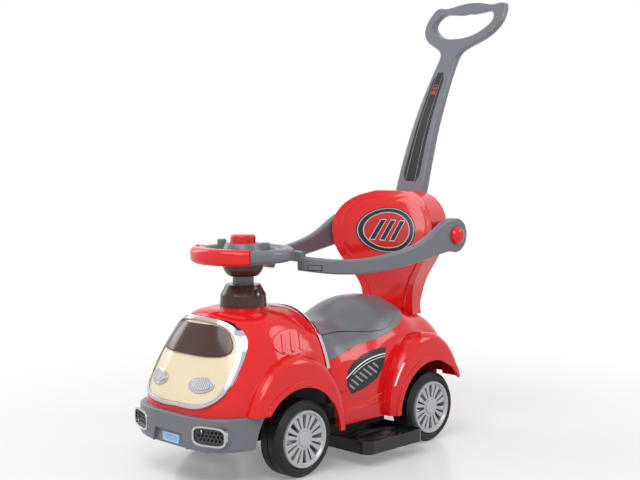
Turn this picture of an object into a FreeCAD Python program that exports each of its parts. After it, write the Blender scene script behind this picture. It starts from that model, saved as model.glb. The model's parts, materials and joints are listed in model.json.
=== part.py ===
import FreeCAD, Part
import os
from math import cos, pi, radians, sin

V = FreeCAD.Vector
X_AXIS = V(1, 0, 0)
Y_AXIS = V(0, 1, 0)
Z_AXIS = V(0, 0, 1)

# Push car for a toddler, about 85 cm long and 88 cm tall. Lengths in mm, +Z up, the nose towards -Y,
# +X on the car's left. Y is measured from the middle of the wheelbase and moved at export.

# Running gear
wheel_base = 344.0
wheel_diameter = 135.0
track_over_wheels = 288.0
tyre_width = 48.0
tyre_shoulder = 7.0
tyre_groove_width = 2.4
tyre_groove_depth = 2.0
rim_diameter = 102.0
rim_lip = 4.5
rim_lip_proud = 1.5
rim_barrel_wall = 2.6
rim_disc_thickness = 5.0
rim_dish = 2.5
spoke_slot_wide = 9.5
spoke_slot_narrow = 5.0
spoke_slot_inner_radius = 19.0
hub_diameter = 22.0
hub_cap_diameter = 27.0
hub_cap_thickness = 4.0
axle_diameter = 8.0
push_nut_diameter = 15.0
push_nut_thickness = 3.0
running_clearance = 0.08
part_gap = 0.35
skin_gap = 0.15
overrun = 6.0

# Steering linkage
kingpin_spacing = 148.0
kingpin_diameter = 9.0
knuckle_barrel_diameter = 18.0
knuckle_barrel_height = 38.0
knuckle_arm_width = 13.0
knuckle_swing_room = 4.5
knuckle_arm_thickness = 6.0
steering_arm_reach = 34.0
tie_rod_width = 13.0
tie_rod_thickness = 4.0
linkage_pin_diameter = 6.0
tie_slot_room = 4.2
tie_side_room = 1.0
bracket_thickness = 6.0
crank_thickness = 6.0
crank_width = 15.0
steering_rod_diameter = 11.0

# Body shell
wall = 3.0
sill_height = 68.0
hood_half_width = 132.0
hood_height = 221.0
hood_fore_length = 167.0
hood_aft_length = 165.0
hood_middle_ahead = 8.0
hood_rear_ahead = 90.0
saddle_half_width = 120.0
saddle_height = 212.0
saddle_front_ahead = 100.0
saddle_length = 390.0
fender_half_length = 118.0
rear_fender_half_length = 108.0
rear_fender_ahead = 8.0
fender_half_height = 146.0
fender_round = 17.0
fender_root = 62.0
body_width = 294.0
arch_radius = 95.0
front_arch_ahead = 10.0
arch_drop = 3.0
bumper_height = 58.0
bumper_bottom = 65.0
bumper_fore_length = 177.0
bumper_half_width = 138.0
bumper_exponent = 3.8
bumper_round = 9.0
bumper_pocket_half_width = 46.0
bumper_pocket_height = 27.0
bumper_pocket_lean = 9.0
bumper_pocket_depth = 6.0
sill_step = 5.0
sill_step_height = 30.0
door_frame_proud = 2.2
arch_lip_proud = 1.6
arch_lip_width = 11.0
louvre_panel_length = 88.0
louvre_panel_height = 42.0
louvre_panel_proud = 1.2
louvre_proud = 2.4
louvre_width = 7.0
louvre_length = 30.0
louvre_pitch = 21.0
louvre_lean = 18.0
trim_width = 9.0
trim_proud = 2.0

# Front panel
panel_half_width = 98.0
panel_height = 134.0
panel_bottom = 140.0
panel_proud = 1.5
ring_proud = 4.0
ring_width = 6.0
visor_proud = 4.5
insert_proud = 4.0
insert_lift = 0.35
insert_width = 46.0
insert_height = 17.0
insert_spacing = 104.0
insert_centre_height = 174.0

# Fog lamps
lamp_spacing = 185.0
lamp_height = 94.0
lamp_length = 66.0
lamp_tall = 34.0
lamp_bezel_width = 3.2
lamp_bezel_depth = 9.0
lamp_mesh_depth = 4.0
lamp_turn = 18.0
lamp_sunk = 2.0
mesh_cell = 7.5
mesh_bar = 1.6

# Steering wheel and column
column_ahead = 186.0
wheel_outer_radius = 92.0
wheel_rim_width = 24.0
wheel_rim_height = 24.0
wheel_rim_bottom = 369.0
wheel_spoke_width = 34.0
wheel_hub_radius = 40.0
wheel_plate_thickness = 4.0
cover_half_angle = 56.0
cover_thickness = 2.5
horn_diameter = 45.0
horn_height = 15.0
horn_edge_round = 5.0
horn_travel = 3.0
horn_guide_diameter = 30.0
horn_guide_length = 14.0
chime_diameter = 17.0
chime_height = 6.0
chime_spacing = 116.0
chime_travel = 2.0
cup_diameter = 74.0
cup_height = 28.0
shaft_diameter = 38.0
collar_base_diameter = 84.0
collar_top_diameter = 62.0
collar_height = 38.0
collar_straight = 20.0

# Seat
lid_proud = 1.5
lid_wall = 3.0
lid_hinge_ahead = 79.0
lid_hinge_height = 226.0
lid_half_width = 84.0
hinge_lug_width = 8.0
hinge_pin_diameter = 5.0
hinge_pin_length = 76.0
hinge_knuckle_diameter = 11.0
hinge_knuckle_length = 18.0
bin_half_width = 72.0
bin_front_ahead = 48.0
bin_back = 126.0
bin_floor = 98.0

# Backrest
backrest_half_width = 133.0
backrest_bottom = 236.0
backrest_height = 246.0
backrest_front = 203.0
backrest_depth = 74.0
backrest_wing = 26.0
backrest_wall = 3.5
backrest_tenon_depth = 46.0
badge_half_width = 80.0
badge_half_height = 46.5
badge_height = 403.0
badge_proud = 0.8
contour_inset = 21.0
contour_width = 3.0
contour_depth = 1.4

# Push handle
handle_thickness = 21.0
handle_half_width = 99.0
handle_foot = 385.0
handle_rise = 496.0
handle_foot_back = 242.0
handle_run = 231.0
handle_socket_gap = 0.6
inlay_proud = 1.0

# Guard bar
guard_pivot_back = 234.0
guard_pivot_height = 399.0
guard_arm_thickness = 16.0
guard_arm_inside = 136.0
guard_reach = 316.0
guard_hub_radius = 33.0
guard_button_diameter = 35.0
guard_button_proud = 13.0
guard_button_travel = 4.0
guard_pin_diameter = 16.0
guard_latch_height = 20.0
guard_latch_thickness = 12.0
guard_edge_round = 5.0

# Footrests
footrest_out = 190.0
footrest_inner = 84.0
footrest_front = -62.0
footrest_length = 158.0
footrest_top = 48.0
footrest_depth = 23.0
footrest_wall = 4.0
footrest_travel = 40.0
footrest_corner = 18.0
footrest_sink = 7.0
guide_length = 28.0
footrest_rib_height = 1.6
rail_width = 14.0
rail_height = 8.0

# Floor pan
pan_bottom = 53.0
pan_thickness = 4.0
pan_half_width_front = 52.0
pan_half_width_middle = 108.0
pan_half_width_rear = 84.0
pan_curb = 12.0
bearing_block_length = 16.0
bearing_block_width = 26.0
screw_diameter = 8.0
screw_head_height = 3.0

# Worked-out places
axle_height = wheel_diameter / 2
tyre_radius = wheel_diameter / 2
rim_radius = rim_diameter / 2
front_axle = -wheel_base / 2
rear_axle = wheel_base / 2
wheel_out = track_over_wheels / 2
wheel_in = wheel_out - tyre_width
hood_middle = front_axle - hood_middle_ahead
bumper_front = hood_middle - bumper_fore_length
handle_back = handle_foot_back + handle_run + handle_thickness
origin_y = (bumper_front + handle_back) / 2
column_y = -column_ahead
hood_top = sill_height + hood_height
collar_top = hood_top + collar_height
wheel_rim_top = wheel_rim_bottom + wheel_rim_height

# Each hood row: height, fore and aft length, half width, all as shares, then the squareness of the plan.
HOOD_SHARES = (
    (0.00, 0.985, 1.000, 1.000, 3.6),
    (0.28, 1.000, 1.000, 1.000, 3.5),
    (0.51, 0.890, 0.990, 0.960, 3.2),
    (0.74, 0.760, 0.880, 0.835, 2.8),
    (0.88, 0.670, 0.655, 0.700, 2.5),
    (0.95, 0.615, 0.533, 0.575, 2.4),
    (0.985, 0.550, 0.380, 0.440, 2.3),
    (1.00, 0.455, 0.250, 0.325, 2.2),
)
# Each saddle row: distance back, crown height, half width, all as shares.
SADDLE_SHARES = (
    (0.000, 0.790, 0.960),
    (0.180, 0.830, 0.995),
    (0.300, 0.850, 1.000),
    (0.385, 0.925, 1.000),
    (0.490, 0.990, 0.990),
    (0.605, 0.995, 0.975),
    (0.695, 0.920, 0.950),
    (0.785, 0.858, 0.920),
    (0.895, 0.800, 0.880),
    (0.960, 0.700, 0.810),
    (1.000, 0.560, 0.720),
)
louvre_height_share = 0.75
trim_low_share = 0.52
tenon_share = 0.34
lamp_place_share = 0.93
pan_nose_share = 0.80
TONGUE_SHARES = (0.20, 0.62)
pad_length_share = 0.80
pad_width_share = 0.66
backrest_side_share = 0.66
backrest_narrow_share = 0.88
boss_share = 0.72
latch_share = 0.15
latch_drop_share = 0.086
SPOKE_PAIRS = 8
BACKREST_STEPS = 10
saddle_spring_share = 0.40
QUARTER_STEPS = 6
CUP_STEPS = 10
HOOD_STEPS = 11
SADDLE_STEPS = 13
LENGTH_COLUMNS = 3
saddle_exponent = 2.3
# Lower edge of the seat base and of the lid, seen from the side: back and up as shares of the saddle.
SEAT_EDGE_SHARES = ((0.020, 0.515), (0.30, 0.652), (0.585, 0.772), (0.665, 0.850), (0.735, 1.30))
LID_EDGE_SHARES = ((0.046, 0.722), (0.34, 0.745), (0.51, 0.778), (0.600, 0.900), (0.672, 1.30))
# Raised frame of the side panel, front pillar then sill, back and up as shares of the saddle.
DOOR_PILLAR_SHARES = ((0.090, 0.30), (0.150, 0.28), (0.115, 0.52), (0.050, 0.52))
DOOR_SILL_SHARES = ((0.060, -0.10), (0.560, -0.10), (0.560, 0.27), (0.360, 0.19),
                    (0.120, 0.11), (0.060, 0.11))
# Outline of the front panel, right half from the bottom up, as shares of half width and height.
PANEL_SHARES = (
    (0.00, 0.00), (0.40, 0.005), (0.74, 0.045), (0.95, 0.16), (1.00, 0.34),
    (0.975, 0.56), (0.875, 0.76), (0.62, 0.93), (0.30, 0.99), (0.00, 1.00),
)
# Lower edge of the visor across the panel, from the middle out, as shares of half width and height.
VISOR_SHARES = ((0.00, 0.70), (0.30, 0.72), (0.58, 0.70), (0.80, 0.61), (1.10, 0.48))
# Each backrest row: height, half width, front set-back, depth, wing, all as shares.
BACKREST_SHARES = (
    (0.00, 0.490, 0.090, 0.74, 0.10),
    (0.16, 0.510, 0.080, 0.76, 0.25),
    (0.28, 0.600, 0.050, 0.82, 0.45),
    (0.42, 0.790, 0.010, 0.92, 0.75),
    (0.56, 0.945, 0.000, 1.00, 0.95),
    (0.69, 1.000, 0.040, 1.00, 1.00),
    (0.80, 0.960, 0.110, 0.98, 0.95),
    (0.90, 0.810, 0.200, 0.92, 0.80),
    (0.96, 0.620, 0.290, 0.84, 0.60),
    (1.00, 0.370, 0.400, 0.68, 0.35),
)
# Front outline of the handle, right half from the foot up, as shares of half width and rise.
HANDLE_SHARES = (
    (0.300, 0.00), (0.360, 0.20), (0.315, 0.40), (0.255, 0.60), (0.210, 0.735), (0.225, 0.765),
    (0.440, 0.800), (0.830, 0.845), (1.000, 0.900), (0.985, 0.950), (0.860, 0.988),
    (0.700, 0.985), (0.350, 0.993), (0.00, 1.00),
)
HANDLE_HOLE_SHARES = (
    (0.00, 0.838), (0.400, 0.848), (0.680, 0.880), (0.790, 0.915),
    (0.740, 0.940), (0.350, 0.950), (0.00, 0.953),
)
HANDLE_SIDE_SHARES = ((0.00, 0.00), (0.12, 0.20), (0.345, 0.49), (0.66, 0.76), (1.00, 1.00))
HANDLE_INLAY_SHARES = ((0.135, 0.235), (0.205, 0.260), (0.130, 0.660), (0.060, 0.690))
# Guard arm from above (out and forward) and from the side (forward and up), as shares of its reach.
GUARD_PLAN_SHARES = (
    (0.456, -0.10), (0.458, 0.10), (0.456, 0.28), (0.441, 0.50),
    (0.400, 0.72), (0.329, 0.865), (0.218, 0.970), (0.120, 1.000),
)
GUARD_TOP_SHARES = (
    (-0.02, 0.098), (0.08, 0.100), (0.19, 0.045), (0.32, -0.020),
    (0.50, -0.066), (0.72, -0.096), (0.90, -0.098), (1.10, -0.050),
)
GUARD_LOW_SHARES = (
    (-0.02, -0.098), (0.08, -0.100), (0.19, -0.118), (0.32, -0.140),
    (0.50, -0.166), (0.72, -0.184), (0.90, -0.184), (1.10, -0.140),
)


def box(x0, x1, y0, y1, z0, z1):
    return Part.makeBox(x1 - x0, y1 - y0, z1 - z0, V(x0, y0, z0))


def rod_x(radius, x0, x1, y, z):
    return Part.makeCylinder(radius, x1 - x0, V(x0, y, z), X_AXIS)


def rod_z(radius, z0, z1, x, y):
    return Part.makeCylinder(radius, z1 - z0, V(x, y, z0), Z_AXIS)


def cone_z(radius0, radius1, z0, z1, x, y):
    return Part.makeCone(radius0, radius1, z1 - z0, V(x, y, z0), Z_AXIS)


def mirrored(shape):
    return shape.mirror(V(0, 0, 0), X_AXIS)


def turned_z(points, x, y):
    """Solid of revolution about an upright axis through (x, y), from (radius, height) corners."""
    wire = Part.makePolygon([V(x + r, y, z) for r, z in points + points[:1]])
    return Part.Face(wire).revolve(V(x, y, 0), Z_AXIS, 360)


def spline(points, closed=False):
    curve = Part.BSplineCurve()
    curve.interpolate(Points=points, PeriodicFlag=closed)
    return curve.toShape()


def prism(wire, direction):
    return Part.Face(wire).extrude(direction)


def evened(rows, count):
    """The same run of rows, drawn again in count even steps along its length without overshoot."""
    along = [0.0]
    for before, after in zip(rows, rows[1:]):
        along.append(along[-1] + sum((b - a) ** 2 for a,
                                     b in zip(before[:LENGTH_COLUMNS], after)) ** (1 / 2))
    last = len(rows) - 1
    columns = []
    for column in zip(*rows):
        rates = [(column[k + 1] - column[k]) / (along[k + 1] - along[k]) for k in range(last)]
        slopes = [rates[0]]
        for before, after in zip(rates, rates[1:]):
            slopes.append(2 * before * after / (before + after) if before * after > 0 else 0.0)
        columns.append((column, slopes + [rates[-1]]))
    result = []
    for step in range(count + 1):
        place = along[-1] * step / count
        k = max(i for i in range(last) if along[i] <= place)
        span = along[k + 1] - along[k]
        t = (place - along[k]) / span
        row = []
        for column, slopes in columns:
            start = column[k] * (1 + 2 * t) * (1 - t) ** 2 + slopes[k] * span * t * (1 - t) ** 2
            row.append(start + column[k + 1] * t * t * (3 - 2 * t) + slopes[k + 1] * span * t * t * (t - 1))
        result.append(row)
    return result


def quarter(centre, start, end, exponent):
    """Quarter of a rounded oval from centre + start to centre + end, squarer with a higher exponent."""
    points = []
    for k in range(QUARTER_STEPS + 1):
        turn = pi / 2 * k / QUARTER_STEPS
        along = max(cos(turn), 0) ** (2 / exponent)
        across = max(sin(turn), 0) ** (2 / exponent)
        points.append(centre + start * along + end * across)
    points[-1] = centre + end
    curve = Part.BSplineCurve()
    curve.interpolate(Points=points, InitialTangent=end, FinalTangent=-start)
    return curve.toShape()


def plan_wire(half_x, fore, aft, exponent, y, z):
    """Closed rounded plan at height z."""
    centre = V(0, y, z)
    right = V(half_x, 0, 0)
    ahead = V(0, -fore, 0)
    behind = V(0, aft, 0)
    edges = [quarter(centre, right, behind, exponent), quarter(centre, behind, -right, exponent),
             quarter(centre, -right, ahead, exponent), quarter(centre, ahead, right, exponent)]
    return Part.Wire(edges)


hood_forms = {}


def hood_form(inset):
    """The hood's closed dome, drawn in by inset, or out if it is below zero."""
    if inset in hood_forms:
        return hood_forms[inset]
    wires = []
    for height_share, fore_share, aft_share, width_share, exponent in evened(HOOD_SHARES, HOOD_STEPS):
        half_x = hood_half_width * width_share - inset
        fore = hood_fore_length * fore_share - inset
        aft = hood_aft_length * aft_share - inset
        z = sill_height + (hood_height - inset) * height_share
        if not wires:
            z -= overrun
        wires.append(plan_wire(half_x, fore, aft, exponent, hood_middle, z))
    hood_forms[inset] = Part.makeLoft(wires, True, False)
    return hood_forms[inset]


def arch_wire(y, half_x, crown, inset):
    """Upright tunnel section at y: straight sides, then a rounded crown."""
    spring = V(0, y, sill_height + crown * saddle_spring_share)
    rise = V(0, 0, crown * (1 - saddle_spring_share) - inset)
    half = V(half_x - inset, 0, 0)
    foot = V(0, y, sill_height - overrun * 2)
    edges = [Part.makeLine(foot + half, spring + half), quarter(spring, half, rise, saddle_exponent),
             quarter(spring, rise, -half, saddle_exponent), Part.makeLine(spring - half, foot - half),
             Part.makeLine(foot - half, foot + half)]
    return Part.Wire(edges)


def saddle_form(inset):
    wires = []
    for back_share, crown_share, width_share in evened(SADDLE_SHARES, SADDLE_STEPS):
        y = -saddle_front_ahead + (saddle_length - max(inset, 0)) * back_share
        wires.append(arch_wire(y, saddle_half_width * width_share, saddle_height * crown_share, inset))
    return Part.makeLoft(wires, True, False)


def above_edge(edge_shares, drop):
    """Block above a line drawn along the saddle's side, lowered by drop."""
    top = sill_height + saddle_height + saddle_height
    points = []
    for back_share, up_share in edge_shares:
        points.append((-saddle_front_ahead + saddle_length * back_share,
                       sill_height + saddle_height * up_share - drop))
    curve = spline([V(-body_width, y, z) for y, z in points])
    start = V(-body_width, points[0][0], top)
    corner = V(-body_width, points[-1][0], top)
    edges = [curve, Part.makeLine(curve.Vertexes[-1].Point, corner), Part.makeLine(corner, start),
             Part.makeLine(start, curve.Vertexes[0].Point)]
    return prism(Part.Wire(edges), V(body_width * 2, 0, 0))


def fender_form(y, half_length, inset):
    """Oval prism over one wheel on the car's left, rounded at its outer edge."""
    tall = fender_half_height - inset
    long = half_length - inset
    centre = V(fender_root, y, axle_height)
    oval = Part.Ellipse(centre + V(0, 0, tall), centre + V(0, long, 0), centre)
    solid = prism(Part.Wire([oval.toShape()]), V(body_width / 2 - inset - fender_root, 0, 0))
    rims = [e for e in solid.Edges if e.BoundBox.XMin > body_width / 2 - inset - part_gap]
    return solid.makeFillet(fender_round, rims)


def panel_points(scale_out):
    """Right half of the front panel's outline, moved out by scale_out."""
    points = []
    middle = panel_bottom + panel_height / 2
    for out_share, up_share in PANEL_SHARES:
        x = (panel_half_width + scale_out) * out_share
        z = middle + (panel_height + scale_out * 2) * (up_share - 1 / 2)
        points.append((x, z))
    return points


def panel_prism(scale_out):
    half = panel_points(scale_out)
    loop = half + [(-x, z) for x, z in reversed(half[1:-1])]
    y = hood_middle - bumper_fore_length - overrun
    return prism(Part.Wire([spline([V(x, y, z) for x, z in loop], True)]), V(0, hood_fore_length, 0))


parts = {}


def keep(node, shape):
    """Name one finished piece."""
    parts[node] = shape


def sided(node, shape):
    """Name a piece of the car's left and its mirror image on the right."""
    keep(node + "_left", shape)
    keep(node + "_right", mirrored(shape))


# Body shell: hood dome, saddle and four fenders hollowed together, with the wheel arches cut through.
high = hood_top * 2
hood_end = box(-body_width, body_width, -hood_rear_ahead, saddle_length, 0, high)
hood_whole = hood_form(0)
hood_outer = hood_whole.cut(hood_end)
hood_inner = hood_form(wall).cut(hood_end.translated(V(0, -wall, 0)))
saddle_outer = saddle_form(0)
saddle_inner = saddle_form(wall)
front_arch = front_axle - front_arch_ahead
rear_fender = rear_axle - rear_fender_ahead
fenders_outer = [fender_form(front_arch, fender_half_length, 0),
                 fender_form(rear_fender, rear_fender_half_length, 0)]
fenders_inner = [fender_form(front_arch, fender_half_length, wall),
                 fender_form(rear_fender, rear_fender_half_length, wall)]
fenders_outer += [mirrored(f) for f in fenders_outer]
fenders_inner += [mirrored(f) for f in fenders_inner]
sill_half = saddle_half_width + sill_step
sill_top = sill_height + sill_step_height
sill_block = [(sill_half, sill_height - overrun), (sill_half, sill_top - sill_step),
              (saddle_half_width - wall, sill_top)]
sill_loop = sill_block + [(-x, z) for x, z in reversed(sill_block)]
sill_front = front_arch + fender_half_length - overrun
sill_wire = Part.makePolygon([V(x, sill_front, z) for x, z in sill_loop + sill_loop[:1]])
sill_outer = prism(sill_wire, V(0, rear_axle - arch_radius - sill_front, 0))
outer = hood_outer.fuse([saddle_outer, sill_outer] + fenders_outer)
tail_end = -saddle_front_ahead + saddle_length


def side_prism(shares):
    """Prism across the car over a region drawn on the saddle's side."""
    corners = [V(-body_width, -saddle_front_ahead + saddle_length * back, sill_height + saddle_height * up)
               for back, up in shares]
    return prism(Part.makePolygon(corners + corners[:1]), V(body_width * 2, 0, 0))


# Raised frame round the side panels, and a lip along each wheel arch.
door_form = saddle_form(-door_frame_proud)
lips = []
for y, place, half_length in ((front_arch, front_arch, fender_half_length),
                              (rear_axle, rear_fender, rear_fender_half_length)):
    lip_bar = rod_x(arch_radius + arch_lip_width, 0, body_width, y, axle_height - arch_drop)
    lips.append(fender_form(place, half_length, -arch_lip_proud).common(lip_bar))
lips += [mirrored(lip) for lip in lips]
outer = outer.fuse([door_form.common(side_prism(DOOR_PILLAR_SHARES)),
                    door_form.common(side_prism(DOOR_SILL_SHARES))] + lips)

# Raised louvre panel on each side of the hood.
louvre_y = front_axle
louvre_z = sill_height + hood_height * louvre_height_share
half_long = V(0, louvre_panel_length / 2, 0)
half_tall = V(0, 0, louvre_panel_height / 2)
louvre_centre = V(0, louvre_y, louvre_z)
oval = Part.Ellipse(louvre_centre + half_long, louvre_centre + half_tall, louvre_centre)
panel_bar = prism(Part.Wire([oval.toShape()]), V(body_width, 0, 0))
bars = []
for place in (-1, 0, 1):
    bar = box(0, body_width, -louvre_width / 2, louvre_width / 2, -louvre_length / 2, louvre_length / 2)
    bar.rotate(V(0, 0, 0), X_AXIS, -louvre_lean)
    bars.append(bar.translated(V(0, louvre_y + louvre_pitch * place, louvre_z)))
raised = hood_form(-louvre_panel_proud).common(panel_bar)
ribs = hood_form(-louvre_proud).common(bars[0].fuse(bars[1:]))
outer = outer.fuse([raised, ribs, mirrored(raised), mirrored(ribs)])

shell = outer.cut(hood_inner.fuse([saddle_inner] + fenders_inner))
wells = []
for y in (front_arch, rear_axle):
    wells.append(rod_x(arch_radius, -body_width, body_width, y, axle_height - arch_drop))
bumper_top = bumper_bottom + bumper_height
bumper_end = front_arch - arch_radius / 2
nose_room = box(-body_width, body_width, -body_width * 2, bumper_end, 0, bumper_top)
lip_height = axle_height + arch_radius / 2
tail_room = box(fender_root, body_width, rear_axle, body_width * 2, 0, lip_height)
below_sill = box(-body_width, body_width, -body_width * 2, body_width * 2, -body_width, sill_height)
seat_block = above_edge(SEAT_EDGE_SHARES, 0).common(hood_end)
column_hole = rod_z(shaft_diameter / 2 + part_gap * 2, hood_top - hood_height / 2, hood_top + overrun,
                    0, column_y)
tenon_half = backrest_half_width * tenon_share
tenon_front = backrest_front + backrest_depth / 4
tenon_back = backrest_front + backrest_depth / 2
tenon_foot = backrest_bottom - backrest_tenon_depth
tenon = box(-tenon_half, tenon_half, tenon_front, tenon_back, tenon_foot,
            backrest_bottom + backrest_tenon_depth)
shell = shell.cut([nose_room, tail_room, mirrored(tail_room), below_sill, seat_block, column_hole,
                   tenon] + wells)
keep("body_shell", shell)

# Front bumper, hollow and open below, cut off along the front wheel arch.
behind_bumper = box(-body_width, body_width, bumper_end, body_width * 2, 0, high)


def bumper_form(inset, foot):
    wire = plan_wire(bumper_half_width - inset, bumper_fore_length - inset, hood_aft_length,
                     bumper_exponent, hood_middle, foot)
    return prism(wire, V(0, 0, bumper_top - inset - foot))


bumper = bumper_form(0, bumper_bottom)
low_edges = [e for e in bumper.Edges if e.BoundBox.ZMax < bumper_bottom + wall]
bumper = bumper.makeFillet(bumper_round, low_edges)
top_edges = [e for e in bumper.Edges if e.BoundBox.ZMin > bumper_top - part_gap]
bumper = bumper.makeFillet(bumper_round / 3, top_edges)
bumper = bumper.cut([bumper_form(wall, bumper_bottom - overrun), behind_bumper, wells[0]])


def lamp_prism(inset, depth, front):
    """Rounded oval block facing forwards, its face front ahead of the lamp's centre."""
    half = V(lamp_length / 2 - inset, 0, 0)
    tall = V(0, 0, lamp_tall / 2 - inset)
    centre = V(0, -front, 0)
    edges = [quarter(centre, half, tall, bumper_exponent), quarter(centre, tall, -half, bumper_exponent),
             quarter(centre, -half, -tall, bumper_exponent),
             quarter(centre, -tall, half, bumper_exponent)]
    return prism(Part.Wire(edges), V(0, depth, 0))


def lamp_placed(shape):
    shape.rotate(V(0, 0, 0), Z_AXIS, lamp_turn)
    return shape.translated(V(lamp_spacing / 2, lamp_y, lamp_height))


# Sunken plate place in the middle of the bumper, open below.
pocket_top = bumper_bottom + bumper_pocket_height


def pocket_prism(grow):
    low = bumper_pocket_half_width + grow
    high_half = bumper_pocket_half_width - bumper_pocket_lean + grow
    loop = [(-low, bumper_bottom - overrun), (low, bumper_bottom - overrun), (high_half, pocket_top + grow),
            (-high_half, pocket_top + grow)]
    wire = Part.makePolygon([V(x, bumper_front - overrun, z) for x, z in loop + loop[:1]])
    return prism(wire, V(0, bumper_fore_length, 0))


behind_pocket = bumper_form(bumper_pocket_depth + wall, bumper_bottom - overrun)
pocket_back = bumper_form(bumper_pocket_depth, bumper_bottom).cut(behind_pocket)
pocket_wall = bumper_form(wall / 2, bumper_bottom).cut(behind_pocket)
pocket_wall = pocket_wall.common(pocket_prism(wall)).cut(pocket_prism(0))
bumper = bumper.cut(pocket_prism(0)).fuse([pocket_back.common(pocket_prism(wall / 2)), pocket_wall])
below = box(-body_width, body_width, -body_width * 2, body_width, 0, bumper_bottom + wall / 2)
below = bumper_form(-overrun, bumper_bottom - overrun * 2).common(below)
bumper = bumper.cut(below.common(pocket_prism(wall)))

lamp_y = hood_middle - bumper_fore_length * lamp_place_share
lamp_hole = lamp_placed(lamp_prism(0, lamp_bezel_depth * 3, lamp_bezel_depth * 2))
bumper = bumper.cut([lamp_hole, mirrored(lamp_hole)])
keep("front_bumper", bumper)
bezel = lamp_prism(0, lamp_bezel_depth,
                   lamp_sunk).cut(lamp_prism(lamp_bezel_width, lamp_bezel_depth * 3,
                                             lamp_bezel_depth * 2))
sided("fog_lamp_bezel", lamp_placed(bezel))
mesh = lamp_prism(lamp_bezel_width, lamp_mesh_depth, lamp_sunk - lamp_bezel_depth + lamp_mesh_depth)
holes = []
cell_rows = int(lamp_tall / mesh_cell)
cell_columns = int(lamp_length / mesh_cell)
hole_radius = (mesh_cell - mesh_bar) / 2
for row in range(-cell_rows, cell_rows + 1):
    for column in range(-cell_columns, cell_columns + 1):
        x = mesh_cell * (column + row % 2 / 2)
        z = mesh_cell * row * sin(pi / 3)
        inside = abs(x) < lamp_length / 2 - mesh_cell - lamp_bezel_width / 2
        if inside and abs(z) < lamp_tall / 2 - mesh_cell - mesh_bar:
            corners = [V(x + hole_radius * sin(pi / 3 * k), -lamp_tall,
                         z + hole_radius * cos(pi / 3 * k)) for k in range(7)]
            holes.append(prism(Part.makePolygon(corners), V(0, lamp_tall * 2, 0)))
mesh = mesh.cut(holes)
sided("fog_lamp_mesh", lamp_placed(mesh))

# Front panel, its ring, visor and two oval inserts all follow the hood's own curve.
panel_hole = panel_prism(0)
panel_form = hood_form(-panel_proud)
hood_seat = hood_form(-skin_gap)
panel_seat = hood_form(-panel_proud - skin_gap)
keep("front_panel", panel_form.cut(hood_seat).common(panel_hole))
ring = hood_form(-ring_proud).cut(hood_seat).common(panel_prism(ring_width).cut(panel_prism(skin_gap)))
keep("front_panel_ring", ring.cut(fenders_outer))
visor_edge = [(panel_half_width * out, panel_bottom + panel_height * up) for out, up in VISOR_SHARES]
visor_loop = [(-x, z) for x, z in reversed(visor_edge[1:])] + visor_edge
visor_y = bumper_front - overrun
visor_curve = spline([V(x, visor_y, z) for x, z in visor_loop])
ends = [V(visor_loop[-1][0], visor_y, high), V(visor_loop[0][0], visor_y, high)]
visor_wire = Part.Wire([visor_curve, Part.makeLine(visor_curve.Vertexes[-1].Point, ends[0]),
                        Part.makeLine(ends[0], ends[1]),
                        Part.makeLine(ends[1], visor_curve.Vertexes[0].Point)])
visor_block = prism(visor_wire, V(0, hood_fore_length, 0))
visor = hood_form(-visor_proud).cut(panel_seat).common(panel_prism(-part_gap)).common(visor_block)
keep("front_visor", visor)
insert_centre = V(insert_spacing / 2, visor_y, insert_centre_height)
insert_oval = Part.Ellipse(insert_centre + V(insert_width / 2, 0, 0),
                           insert_centre + V(0, 0, insert_height / 2), insert_centre)
insert = hood_form(-insert_proud).cut(panel_seat).common(prism(Part.Wire([insert_oval.toShape()]),
                                                               V(0, hood_fore_length, 0)))
sided("front_insert", insert.translated(V(0, -insert_lift, 0)))

# Bright trim round the rear edge of the hood.
trim_band = box(-body_width, body_width, -hood_rear_ahead - trim_width, -hood_rear_ahead, axle_height,
                high)
trim_low = sill_height + saddle_height * trim_low_share
trim = hood_form(-trim_proud).cut(hood_seat).common(trim_band)
trim = trim.cut([box(-body_width, body_width, -body_width * 2, body_width, 0,
                     trim_low)] + fenders_outer + [raised, mirrored(raised)])
keep("hood_trim", trim)

# Steering column and wheel.
collar = turned_z([(shaft_diameter / 2 + part_gap, hood_top), (collar_base_diameter / 2, hood_top),
                   (collar_base_diameter / 2 - wall / 3, hood_top + collar_straight),
                   (collar_top_diameter / 2, collar_top),
                   (shaft_diameter / 2 + part_gap, collar_top)], 0, column_y)
lug_reach = collar_base_diameter / 2
lug_height = hood_top + collar_straight + wall
collar = collar.fuse(rod_x(screw_diameter, -lug_reach, lug_reach, column_y, lug_height))
lug_hole = rod_x(screw_diameter / 2, lug_reach - overrun, lug_reach + overrun, column_y, lug_height)
collar = collar.cut([rod_z(shaft_diameter / 2 + part_gap, hood_top - overrun, collar_top + overrun, 0,
                           column_y), lug_hole, mirrored(lug_hole)])
keep("steering_collar", collar)

rod_radius = steering_rod_diameter / 2
cup_top = wheel_rim_bottom - wheel_plate_thickness - wall
cup_bottom = cup_top - cup_height
shaft_foot = hood_top - collar_height
shaft = rod_z(shaft_diameter / 2, shaft_foot, cup_top, 0,
              column_y).cut(rod_z(rod_radius, 0, high, 0, column_y))
keep("steering_shaft", shaft)
bowl_turns = [radians(90 * k / CUP_STEPS) for k in range(CUP_STEPS + 1)]
bowl = [(cup_diameter / 2 * sin(turn), cup_top - cup_height * cos(turn)) for turn in bowl_turns]
bowl = [(r, z) for r, z in bowl if r > shaft_diameter / 2 + wall]
cup = turned_z([(shaft_diameter / 2, bowl[0][1])] + bowl + [(shaft_diameter / 2, cup_top)], 0, column_y)
keep("steering_cup", cup)

rim_mid = wheel_outer_radius - wheel_rim_width / 2


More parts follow.
